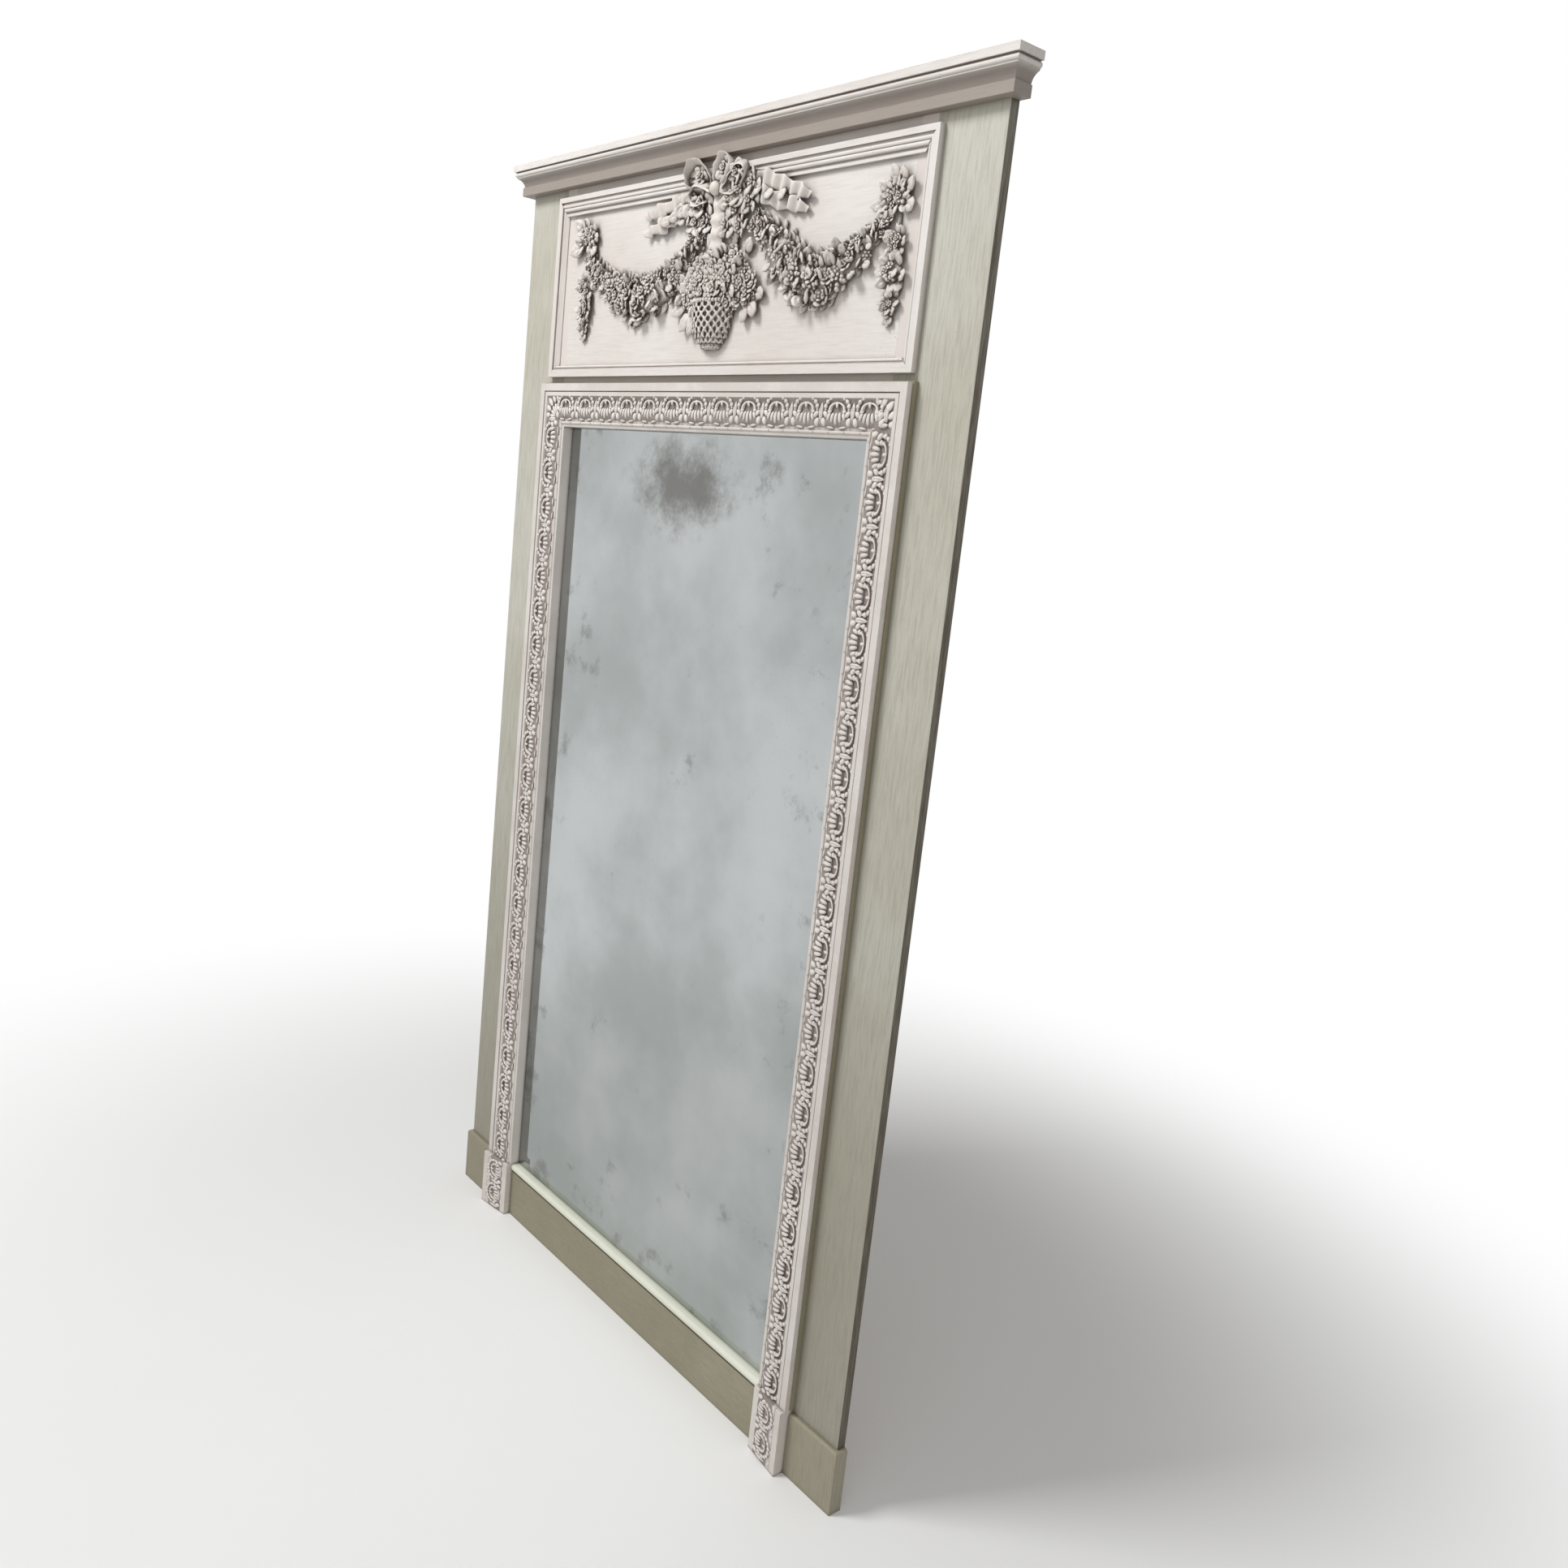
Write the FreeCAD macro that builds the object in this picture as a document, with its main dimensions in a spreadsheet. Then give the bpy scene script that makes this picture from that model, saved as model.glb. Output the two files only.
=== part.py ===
"""A painted overmantel mirror: panelled boards, a carved frame, and carved swags above.

X runs to the right, the front faces -Y and Z is up. The origin is on the floor line at
the middle of the width and of the depth. Depths are given as distances out from the
wall, so a depth d lies at y = depth / 2 - d.
"""
import FreeCAD, Part
import math
import os
import re
import Sketcher
from FreeCAD import Placement, Rotation, Vector

os.makedirs("parts", exist_ok=True)
doc = FreeCAD.newDocument("overmantel_mirror")
sizes = doc.addObject("Spreadsheet::Sheet", "Sizes")

# Driving dimensions in millimetres. Names that end in _d are distances out from the wall.
DIMENSIONS = dict(
    height=1900, depth=63,
    # the flat boards at the two sides and across the top
    back_d=20, face_d=34, stile_in=400, stile_out=540, board_top=1889, arris=1.5,
    # the base: plinth blocks, rail, bead and the carved foot blocks
    seat=89, plinth_in=445, plinth_out=546.5, plinth_top=97, plinth_d=42, nosing=5,
    rail_half=375, rail_d=38, bead_top=101, bead_d=42, bead_rad=6, quirk=3,
    foot_top=102, foot_d=59.5, foot_inner_d=50,
    # the carved mirror frame and the slip behind it
    frame_out=445, sight=375, frame_top=1536, frame_wide=70, tongue=397,
    band=12, band_d=51, ledge_d=50, hollow_d=45, lip_d=47, sight_d=42.7, rebate_d=25,
    slip_in=398, slip_out=447, slip_top=1538, slip_d=42,
    # the glass and what holds it
    glass_half=390, glass_top=1484, wedge_long=40, wedge_step=330,
    backing_half=424, backing_low=70, backing_top=1500, backing_d=12, backing_gap=1,
    # the upper panel and its mouldings
    panel_low=1500, panel_half=400, border_half=440, border_low=1548, border_top=1838,
    border_d=43, head_wide=30, side_wide=24, foot_wide=19, fillet=12, head_fillet=8,
    # the cornice: sizes are projections from the board face and heights
    crown_low=1852, crown_fillet=16, crown_step=1866, crown_neck=14, crown_lip=24.5,
    crown_curve=1880, crown_bead_low=1882, crown_bead_top=1889, crown_groove=1890,
    crown_out=29, cove_rad=15, crown_bead_rad=3.6,
    # battens across the back
    batten_half=505, batten_tall=60, batten_low=6, batten_mid=790, batten_high=1535,
    batten_head=1795,
    # strap hangers with rings, one on each side board
    hang_x=470, hang_z=1700, strap_wide=18, strap_long=62, strap_thick=1.5,
    eye_d=15.2, eye_rad=4.3, eye_bore=2.05, wire_rad=2, ring_rad=13, ring_leg=12,
    screw_rad=2, screw_head=4.2, screw_sink=2, screw_long=28, strap_screw_long=11,
    screw_room=0.05,
    # the carved basket and the flowers in it
    basket_x=18, basket_low=1586, basket_rim=1650, basket_rad=40, basket_foot=17,
    basket_sunk=11, mound_rad=40, mound_out=24, bloom_rad=17,
    # the bow, its hanging band and the two ribbon ends
    bow_x=12, bow_z=1812, bow_d=60, knot_rad=16, band_rad=13, bud_rad=25, ribbon_d=47,
    # the swags, corner sprays and drops
    swag_sag=77, swag_rad=29, swag_end=10, swag_sink=0.2, swag_leaf=36, spray_long=44,
    spray_tall=38, spray_notch=24, spray_curve=40, spray_d=9, boss_rad=18, boss_out=20,
    drop_long=120, drop_rad=25, drop_out=17,
)


def fill_sheet():
    """Write every dimension into the sheet as a named cell."""
    for row, (name, value) in enumerate(DIMENSIONS.items(), start=1):
        sizes.set("A%d" % row, name)
        sizes.set("B%d" % row, str(value))
        sizes.setAlias("B%d" % row, name)
    doc.recompute()


def cell(rule):
    """Turn a rule written in bare names into one that points at the sheet."""
    return re.sub(r"[a-z_]+[a-z_0-9]*", lambda word: "Sizes." + word.group(), str(rule))


def value(rule):
    """Give the present number of a rule."""
    return float(sizes.evalExpression(cell(rule)))


def bind(target, key, rule):
    """Bind one property of an object to a rule of the sheet."""
    target.setExpression(key, cell(rule))


def body(name):
    """Start a body whose local y is minus the distance from the wall."""
    made = doc.addObject("PartDesign::Body", name)
    bind(made, "Placement.Base.y", "depth / 2")
    return made


def origin_plane(owner, role):
    """Find one of the body's own reference planes or axes."""
    return next(part for part in owner.Origin.OriginFeatures if part.Role == role)


def arc_through(start, end, radius, side):
    """Make the shorter arc between two points, bulging to the given side."""
    chord = end - start
    half = chord.Length / 2
    reach = math.sqrt(max(radius * radius - half * half, 0))
    normal = Vector(chord.y, -chord.x, 0).normalize() * side
    centre = (start + end) / 2 - normal * reach
    first, last = (start, end) if side > 0 else (end, start)
    angles = [math.atan2(spot.y - centre.y, spot.x - centre.x) for spot in (first, last)]
    circle = Part.Circle(centre, Vector(0, 0, 1), math.hypot(half, reach))
    return Part.ArcOfCircle(circle, angles[0], angles[1])


def outline(owner, name, role, path):
    """Draw a closed outline whose corners are all bound to the sheet.

    A corner is (x rule, y rule); with a radius rule and a side it ends an arc.
    """
    sketch = owner.newObject("Sketcher::SketchObject", name)
    sketch.AttachmentSupport = [(origin_plane(owner, role), "")]
    sketch.MapMode = "FlatFace"
    points = [Vector(value(step[0]), value(step[1]), 0) for step in path]
    count = len(path)
    for index in range(count):
        step = path[(index + 1) % count]
        start = points[index]
        end = points[(index + 1) % count]
        if len(step) == 4:
            edge = arc_through(start, end, value(step[2]), step[3])
            sketch.addGeometry(edge, False)
        else:
            sketch.addGeometry(Part.LineSegment(start, end), False)
    ends = [edge_ends(sketch, index, points[index]) for index in range(count)]
    for index in range(count):
        follow = (index + 1) % count
        sketch.addConstraint(Sketcher.Constraint(
            "Coincident", index, ends[index][1], follow, ends[follow][0]))
    for index, step in enumerate(path):
        for kind, rule, number in zip(("DistanceX", "DistanceY"), step, points[index]):
            place = sketch.addConstraint(Sketcher.Constraint(
                kind, -1, 1, index, ends[index][0], number))
            bind(sketch, "Constraints[%d]" % place, rule)
    return sketch


def edge_ends(sketch, index, start):
    """Say which end of an edge is its first corner: arcs can run backwards."""
    edge = sketch.Geometry[index]
    if (edge.StartPoint - start).Length < 1e-6:
        return 1, 2
    return 2, 1


def pad(owner, sketch, rule, symmetric=False, reverse=False):
    """Extrude an outline by a bound length."""
    made = owner.newObject("PartDesign::Pad", sketch.Name + "_pad")
    made.Profile = sketch
    made.SideType = "Symmetric" if symmetric else "One side"
    made.Reversed = reverse
    bind(made, "Length", rule)
    return made


def cut_through(owner, sketch):
    """Remove an outline right through the body, both ways from its plane."""
    made = owner.newObject("PartDesign::Pocket", sketch.Name + "_cut")
    made.Profile = sketch
    made.SideType = "Symmetric"
    made.Type = "Length"
    made.Length = 8000
    return made


def slab(name, left, right, back, front, low, high):
    """Make a plain board between six bound planes."""
    owner = body(name)
    path = [(left, "-(%s)" % back), (right, "-(%s)" % back),
            (right, "-(%s)" % front), (left, "-(%s)" % front)]
    sketch = outline(owner, name + "_plan", "XY_Plane", path)
    bind(sketch, "AttachmentOffset.Base.z", low)
    pad(owner, sketch, "(%s) - (%s)" % (high, low))
    return owner


def edges_where(shape, test):
    """List the names of the edges whose two ends both pass a test."""
    names = []
    for index, edge in enumerate(shape.Edges, start=1):
        if all(test(vertex.Point) for vertex in edge.Vertexes):
            names.append("Edge%d" % index)
    return names


def round_edges(owner, test, rule):
    """Round the chosen edges of a body by a bound radius."""
    doc.recompute()
    base = owner.Tip
    made = owner.newObject("PartDesign::Fillet", owner.Name + "_round")
    made.Base = (base, edges_where(base.Shape, test))
    bind(made, "Radius", rule)
    return made


def mirrored(name, source):
    """Make the left-hand twin of a right-hand piece."""
    made = doc.addObject("Part::Mirroring", name)
    made.Source = source
    made.Base = Vector(0, 0, 0)
    made.Normal = Vector(1, 0, 0)
    return made


def near(number, rule):
    """Say whether a coordinate lies on a bound plane."""
    return abs(number - value(rule)) < 0.01


def place(target, across, out, up, turn=None):
    """Put a primitive at bound x, distance from the wall, and height."""
    if turn is not None:
        target.Placement = Placement(Vector(0, 0, 0), turn)
    bind(target, "Placement.Base.x", across)
    bind(target, "Placement.Base.y", "depth / 2 - (%s)" % out)
    bind(target, "Placement.Base.z", up)
    return target


def primitive(kind, name, **rules):
    """Make a Part primitive with bound sizes."""
    made = doc.addObject(kind, name)
    for key, rule in rules.items():
        bind(made, key, rule)
    return made


def joined(name, pieces):
    """Fuse several shapes into one piece."""
    made = doc.addObject("Part::MultiFuse", name)
    made.Shapes = pieces
    return made


def trimmed(name, base, tool):
    """Cut one shape back to the face of another."""
    made = doc.addObject("Part::Cut", name)
    made.Base = base
    made.Tool = tool
    return made


def polygon(name, corners, radius, across, out, up, turn):
    """Draw one many-sided section, placed and turned for a loft."""
    made = primitive("Part::RegularPolygon", name, Circumradius=radius)
    made.Polygon = corners
    return place(made, across, out, up, turn)


def ruled(name, sections):
    """Join sections by flat faces into one solid."""
    made = doc.addObject("Part::Loft", name)
    made.Sections = sections
    made.Solid = True
    made.Ruled = True
    return made


# ---------------------------------------------------------------- screws and their holes

def screw(name, across, out, up, long, room):
    """Make one flat-headed screw whose head faces the wall, with room added all round."""
    shank = primitive("Part::Prism", name + "_shank", Circumradius="screw_rad + %s" % room,
                      Height="%s + %s" % (long, room))
    head = primitive("Part::Prism", name + "_head", Circumradius="screw_head + %s" % room,
                     Height="screw_sink + %s" % room)
    turn = Rotation(Vector(1, 0, 0), 90)
    for piece in (shank, head):
        piece.Polygon = 8
        place(piece, across, out, up, turn)
    return joined(name, [shank, head])


def screw_set(name, spots, long, room="0"):
    """Make a group of equal screws, each its own solid."""
    pieces = []
    for index, (across, out, up) in enumerate(spots):
        pieces.append(screw("%s_%d" % (name, index), across, out, up, long, room))
    group = doc.addObject("Part::Compound", name)
    group.Links = pieces
    return group


def batten_spots():
    """List where the battens are screwed to the side boards."""
    spots = []
    for low in ("batten_low", "batten_mid", "batten_high", "batten_head"):
        for side in ("", "-"):
            spots.append((side + "hang_x", "0", "%s + batten_tall / 2" % low))
    return spots


def strap_spots():
    """List where the hanger straps are screwed to the side boards."""
    spots = []
    for side in ("", "-"):
        for share in ("0.42", "0.84"):
            spots.append((side + "hang_x", "back_d - strap_thick",
                          "hang_z - strap_long * %s" % share))
    return spots


# ---------------------------------------------------------------- boards and base

def side_boards(holes):
    """Make the two flat side boards that stand on the plinth blocks."""
    board = slab("side_board", "stile_in", "stile_out", "back_d", "face_d",
                 "seat", "board_top")
    round_edges(board, lambda p: near(p.x, "stile_out") and near(p.y, "-face_d"), "arris")
    trimmed("stile_right", board, holes)
    trimmed("stile_left", mirrored("side_board_left", board), holes)


def plinth_blocks(holes):
    """Make the plinth blocks, with a rounded top nosing lapping the board's foot."""
    block = slab("plinth_block", "plinth_in", "plinth_out", "back_d", "plinth_d",
                 "0", "plinth_top")
    seat = outline(block, "plinth_seat", "XZ_Plane",
                   [("plinth_in", "seat"), ("stile_out", "seat"),
                    ("stile_out", "plinth_top"), ("plinth_in", "plinth_top")])
    pocket = block.newObject("PartDesign::Pocket", "plinth_seat_cut")
    pocket.Profile = seat
    pocket.Reversed = True
    bind(pocket, "Length", "face_d")
    round_edges(block, lambda p: near(p.z, "plinth_top") and
                (near(p.y, "-plinth_d") or near(p.x, "plinth_out")), "nosing")
    trimmed("plinth_block_right", block, holes)
    trimmed("plinth_block_left", mirrored("plinth_twin", block), holes)


def base_rail():
    """Make the plain rail between the foot blocks and its half-round top bead."""
    rail = body("base_rail")
    path = [("-back_d", "0"), ("-rail_d", "0"), ("-rail_d", "seat - quirk"),
            ("-rail_d + 2", "seat - quirk"), ("-rail_d + 2", "seat"), ("-back_d", "seat")]
    pad(rail, outline(rail, "rail_section", "YZ_Plane", path), "2 * rail_half", True)
    bead = body("rail_bead")
    path = [("-rebate_d", "seat"), ("-bead_d + bead_rad", "seat"),
            ("-bead_d + bead_rad", "bead_top", "bead_rad + 0.1", -1), ("-rebate_d", "bead_top")]
    pad(bead, outline(bead, "bead_section", "YZ_Plane", path), "2 * rail_half", True)


def foot_blocks():
    """Make the blocks under the carved uprights, splayed towards the outside."""
    block = body("foot_block_right")
    low = outline(block, "foot_plan", "XY_Plane",
                  [("rail_half", "-back_d"), ("plinth_in", "-back_d"),
                   ("plinth_in", "-foot_d"), ("rail_half", "-foot_inner_d")])
    pad(block, low, "seat")
    high = outline(block, "foot_head_plan", "XY_Plane",
                   [("rail_half", "-rebate_d"), ("stile_in", "-rebate_d"),
                    ("stile_in", "-face_d"), ("plinth_in", "-face_d"),
                    ("plinth_in", "-foot_d"), ("rail_half", "-foot_inner_d")])
    bind(high, "AttachmentOffset.Base.z", "seat")
    pad(block, high, "foot_top - seat")
    round_edges(block, lambda p: near(p.z, "foot_top") and p.y < -value("face_d") - 1,
                "arris")
    mirrored("foot_block_left", block)


# ---------------------------------------------------------------- the carved frame

def bed_section(edge, turn):
    """Give the frame's section from its outer face in to the sight edge and back.

    edge is the rule of the outer face and turn the sign that leads inwards; each corner
    is (position, minus depth).
    """
    def at(step):
        return "%s %s (%s)" % (edge, turn, step)
    return [
        (at("0"), "-slip_d"), (at("0"), "-band_d"), (at("band"), "-band_d"),
        (at("band + 1"), "-ledge_d + 1.5"), (at("band + 2"), "-ledge_d"),
        (at("band + 8"), "-ledge_d"), (at("band + 9"), "-ledge_d + 1.5"),
        (at("30"), "-hollow_d", "34", 1), (at("43"), "-hollow_d"),
        (at("58"), "-sight_d - 2", "10", -1),
        (at("61"), "-sight_d - 1.5"),
        (at("66"), "-sight_d - 1", "2.6", -1),
        (at("frame_wide"), "-sight_d"), (at("frame_wide"), "-rebate_d"),
        (at("frame_out - tongue"), "-rebate_d"), (at("frame_out - tongue"), "-slip_d"),
    ]


def carved_uprights():
    """Make the two uprights, mitred at the head and standing on the foot blocks."""
    upright = body("frame_upright_right")
    section = outline(upright, "upright_section", "XY_Plane", bed_section("frame_out", "-"))
    bind(section, "AttachmentOffset.Base.z", "foot_top")
    pad(upright, section, "frame_top - foot_top")
    mitre = outline(upright, "upright_mitre", "XZ_Plane",
                    [("sight - 10", "frame_top - frame_wide - 10"),
                     ("frame_out + 10", "frame_top + 10"),
                     ("sight - 10", "frame_top + 10")])
    cut_through(upright, mitre)
    mirrored("frame_upright_left", upright)


def carved_head():
    """Make the frame's top length, mitred at both ends."""
    head = body("frame_top")
    swapped = [tuple([step[1], step[0]] + [part if index == 0 else -part
               for index, part in enumerate(step[2:])])
               for step in bed_section("frame_top", "-")]
    pad(head, outline(head, "head_section", "YZ_Plane", swapped), "2 * frame_out", True)
    for side in ("", "-"):
        mitre = outline(head, "head_mitre" + ("_left" if side else "_right"), "XZ_Plane",
                        [(side + "(sight - 10)", "frame_top - frame_wide - 10"),
                         (side + "(frame_out + 10)", "frame_top + 10"),
                         (side + "(frame_out + 10)", "frame_top - frame_wide - 10")])
        cut_through(head, mitre)


def backing_slips():
    """Make the thin slips that the carved lengths are planted on."""
    side = slab("frame_slip_right", "slip_in", "slip_out", "face_d", "slip_d",
                "foot_top", "slip_top - slip_out + slip_in")
    mirrored("frame_slip_left", side)
    slab("frame_slip_top", "-slip_out", "slip_out", "face_d", "slip_d",
         "slip_top - slip_out + slip_in", "slip_top")


# ---------------------------------------------------------------- glass and backing

def mirror_plate():
    """Make the glass, its edge wedges and the thin boards that back it."""
    slab("mirror_glass", "-glass_half", "glass_half", "back_d", "rebate_d",
         "seat", "glass_top")
    wedges = []
    for side in ("", "-"):
        for step in range(4):
            wedge = primitive("Part::Wedge", "wedge%s_%d" % (side and "_left", step),
                              Xmax="stile_in - glass_half", X2max="stile_in - glass_half - 3",
                              Ymax="rebate_d - back_d", Zmax="wedge_long",
                              Z2max="wedge_long")
            low = "seat + 60 + wedge_step * %d" % step
            if side:
                place(wedge, "-glass_half", "back_d", "%s + wedge_long" % low,
                      Rotation(Vector(0, 1, 0), 180))
                bind(wedge, "Placement.Base.y", "depth / 2 - rebate_d")
            else:
                place(wedge, "glass_half", "rebate_d", low)
            wedges.append(wedge)
    group = doc.addObject("Part::Compound", "glass_wedges")
    group.Links = wedges
    names = ("outer_left", "inner_left", "inner_right", "outer_right")
    for index, name in enumerate(names):
        left = "-backing_half + backing_half / 2 * %d" % index
        right = "%s + backing_half / 2 - backing_gap" % left
        slab("backboard_" + name, left, right, "backing_d", "back_d", "backing_low",
             "backing_top")


# ---------------------------------------------------------------- upper panel

def head_moulding_section():
    """Give the reeded section of the panel's top moulding as (minus depth, height)."""
    top = "border_top"
    return [
        ("-face_d", top), ("-border_d", top), ("-border_d", top + " - head_fillet"),
        ("-border_d + 3", top + " - head_fillet"),
        ("-border_d + 3", top + " - head_fillet - 3"),
        ("-border_d + 3", top + " - head_fillet - 9", "3.1", 1),
        ("-border_d + 3", top + " - head_fillet - 15", "3.1", 1),
        ("-border_d + 5", top + " - head_fillet - 15"),
        ("-border_d + 5", top + " - head_fillet - 18"),
        ("-border_d + 3.5", top + " - head_fillet - 18"),
        ("-border_d + 3.5", top + " - head_wide"), ("-face_d", top + " - head_wide"),
    ]


def edge_moulding(edge, turn, wide):
    """Give the flat-and-bead section used at the sides and the foot of the panel."""
    def at(step):
        return "%s %s (%s)" % (edge, turn, step)
    return [
        (at("0"), "-face_d"), (at("0"), "-border_d"), (at("fillet"), "-border_d"),
        (at("fillet"), "-border_d + 3"), (at("fillet + 2"), "-border_d + 3"),
        (at("fillet + 6"), "-border_d + 3", "2.2", -1 if turn == "-" else 1),
        (at(wide), "-face_d - 1.5"), (at(wide), "-face_d"),
    ]


def panel():
    """Make the panel board and the four mitred mouldings planted on it."""
    slab("panel_board", "-panel_half", "panel_half", "back_d", "face_d",
         "panel_low", "board_top")
    head = body("panel_moulding_top")
    pad(head, outline(head, "panel_head_section", "YZ_Plane", head_moulding_section()),
        "2 * border_half", True)
    for side in ("", "-"):
        corner = [(side + "border_half", "border_top"),
                  (side + "(border_half - side_wide)", "border_top - head_wide"),
                  (side + "(border_half - side_wide)", "border_top - head_wide - 10"),
                  (side + "(border_half + 10)", "border_top - head_wide - 10"),
                  (side + "(border_half + 10)", "border_top")]
        cut_through(head, outline(head, "panel_head_mitre" + ("_left" if side else ""),
                                  "XZ_Plane", corner))
    foot = body("panel_moulding_bottom")
    swapped = [tuple([step[1], step[0]] + [part if index == 0 else -part
               for index, part in enumerate(step[2:])])
               for step in edge_moulding("border_low", "+", "foot_wide")]
    pad(foot, outline(foot, "panel_foot_section", "YZ_Plane", swapped),
        "2 * border_half", True)
    for side in ("", "-"):
        corner = [(side + "border_half", "border_low"),
                  (side + "(border_half - side_wide)", "border_low + foot_wide"),
                  (side + "(border_half - side_wide)", "border_low + foot_wide + 10"),
                  (side + "(border_half + 10)", "border_low + foot_wide + 10"),
                  (side + "(border_half + 10)", "border_low")]
        cut_through(foot, outline(foot, "panel_foot_mitre" + ("_left" if side else ""),
                                  "XZ_Plane", corner))
    side = body("panel_moulding_right")
    section = outline(side, "panel_side_section", "XY_Plane",
                      edge_moulding("border_half", "-", "side_wide"))
    bind(section, "AttachmentOffset.Base.z", "border_low")
    pad(side, section, "border_top - border_low")
    cut_through(side, outline(side, "panel_side_high", "XZ_Plane",
                              [("border_half", "border_top"),
                               ("border_half - side_wide", "border_top - head_wide"),
                               ("border_half - side_wide - 5", "border_top - head_wide"),
                               ("border_half - side_wide - 5", "border_top + 5"),
                               ("border_half", "border_top + 5")]))
    cut_through(side, outline(side, "panel_side_low", "XZ_Plane",
                              [("border_half", "border_low"),
                               ("border_half - side_wide", "border_low + foot_wide"),
                               ("border_half - side_wide - 5", "border_low + foot_wide"),
                               ("border_half - side_wide - 5", "border_low - 5"),
                               ("border_half", "border_low - 5")]))
    mirrored("panel_moulding_left", side)


# ---------------------------------------------------------------- cornice

def crown_section(front):
    """Give the cornice section; front says that it runs along the front.

    Along the front the corners are (minus depth, height); on the return they are
    (x, height).
    """
    def out(step):
        return "-face_d - (%s)" % step if front else "stile_out + (%s)" % step
    hand = 1 if front else -1
    return [
        (out("0"), "crown_low"), (out("crown_fillet"), "crown_low"),
        (out("crown_fillet"), "crown_step"), (out("crown_neck"), "crown_step"),
        (out("crown_lip"), "crown_curve", "cove_rad", hand),
        (out("crown_lip"), "crown_bead_low"),
        (out("crown_lip"), "crown_bead_top", "crown_bead_rad", -hand),
        (out("crown_lip"), "crown_groove"), (out("crown_out"), "crown_groove"),
        (out("crown_out"), "height"), (out("0"), "height"),
    ]


def cornice():
    """Make the mitred cornice: front length, two returns and the cap board."""
    front = body("cornice_front")
    pad(front, outline(front, "crown_front_section", "YZ_Plane", crown_section(True)),
        "2 * (stile_out + crown_out)", True)
    for side in ("", "-"):
        corner = [(side + "stile_out", "-face_d"),
                  (side + "(stile_out + crown_out + 5)", "-face_d - crown_out - 5"),
                  (side + "(stile_out + crown_out + 5)", "-face_d + 5"),
                  (side + "stile_out", "-face_d + 5")]
        cut_through(front, outline(front, "crown_mitre" + ("_left" if side else ""),
                                   "XY_Plane", corner))
    side = body("cornice_return_right")
    section = outline(side, "crown_side_section", "XZ_Plane", crown_section(False))
    bind(section, "AttachmentOffset.Base.z", "back_d")
    pad(side, section, "face_d - back_d + crown_out + 1")
    cut_through(side, outline(side, "crown_side_mitre", "XY_Plane",
                              [("stile_out", "-face_d"),
                               ("stile_out + crown_out + 5", "-face_d - crown_out - 5"),
                               ("stile_out - 5", "-face_d - crown_out - 5"),
                               ("stile_out - 5", "-face_d")]))
    mirrored("cornice_return_left", side)
    slab("cornice_cap", "-stile_out", "stile_out", "back_d", "face_d", "board_top",
         "height")


# ---------------------------------------------------------------- back and hangers

def battens(holes):
    """Make the four battens; the middle one is notched over the backing boards."""
    for name, low in (("foot", "batten_low"), ("shoulder", "batten_high"),
                      ("head", "batten_head")):
        plain = slab("batten_%s_blank" % name, "-batten_half", "batten_half", "0", "back_d",
                     low, "%s + batten_tall" % low)
        trimmed("batten_" + name, plain, holes)
    middle = slab("batten_middle_blank", "-batten_half", "batten_half", "0", "back_d",
                  "batten_mid", "batten_mid + batten_tall")
    notch = outline(middle, "batten_notch", "XY_Plane",
                    [("-backing_half - 1", "-backing_d"), ("backing_half + 1", "-backing_d"),
                     ("backing_half + 1", "-back_d - 5"),
                     ("-backing_half - 1", "-back_d - 5")])
    cut_through(middle, notch)
    trimmed("batten_middle", middle, holes)


def hanger(side, sign, holes):
    """Make one strap hanger and the ring that swings in its eye."""
    across = sign + "hang_x"
    name = "hanger_strap_" + side
    plate = primitive("Part::Box", name + "_plate", Length="strap_wide",
                      Width="strap_thick", Height="strap_long")
    place(plate, across + " - strap_wide / 2", "back_d", "hang_z - strap_long")
    barrel = primitive("Part::Cylinder", name + "_barrel", Radius="eye_rad",
                       Height="strap_wide")
    bore = primitive("Part::Cylinder", name + "_bore", Radius="eye_bore",
                     Height="strap_wide + 2")
    along = Rotation(Vector(0, 1, 0), 90)
    place(barrel, across + " - strap_wide / 2", "eye_d", "hang_z", along)
    place(bore, across + " - strap_wide / 2 - 1", "eye_d", "hang_z", along)
    tab = primitive("Part::Box", name + "_tab", Length="strap_wide",
                    Width="strap_thick", Height="eye_rad")
    place(tab, across + " - strap_wide / 2", "back_d", "hang_z - eye_rad / 2")
    solid = joined(name + "_solid", [plate, tab, barrel])
    bored = trimmed(name + "_bored", solid, bore)
    trimmed(name, bored, holes)
    ring(side, across, along)


def ring(side, across, along):
    """Make the D-shaped wire ring, hanging straight down from the eye."""
    name = "hanger_ring_" + side
    bar = primitive("Part::Cylinder", name + "_bar", Radius="wire_rad",
                    Height="2 * ring_rad")
    place(bar, across + " - ring_rad", "eye_d", "hang_z", along)
    rounds = []
    steps = 10
    for index in range(steps + 1):
        angle = math.pi * index / steps
        rounds.append(polygon(
            "%s_bend_%d" % (name, index), 8, "wire_rad",
            "%s + ring_rad * %.5f" % (across, math.cos(angle)), "eye_d",
            "hang_z - ring_leg - ring_rad * %.5f" % math.sin(angle),
            Rotation(Vector(0, 1, 0), math.degrees(angle))))
    pieces = [bar, ruled(name + "_bend", rounds)]
    for hand, sign in (("inner", "-"), ("outer", "+")):
        leg = primitive("Part::Prism", "%s_leg_%s" % (name, hand), Circumradius="wire_rad",
                        Height="ring_leg + wire_rad * 0.9")
        leg.Polygon = 8
        place(leg, "%s %s ring_rad" % (across, sign), "eye_d", "hang_z - ring_leg")
        pieces.append(leg)
    joined(name, pieces)


# ---------------------------------------------------------------- carved ornament

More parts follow.
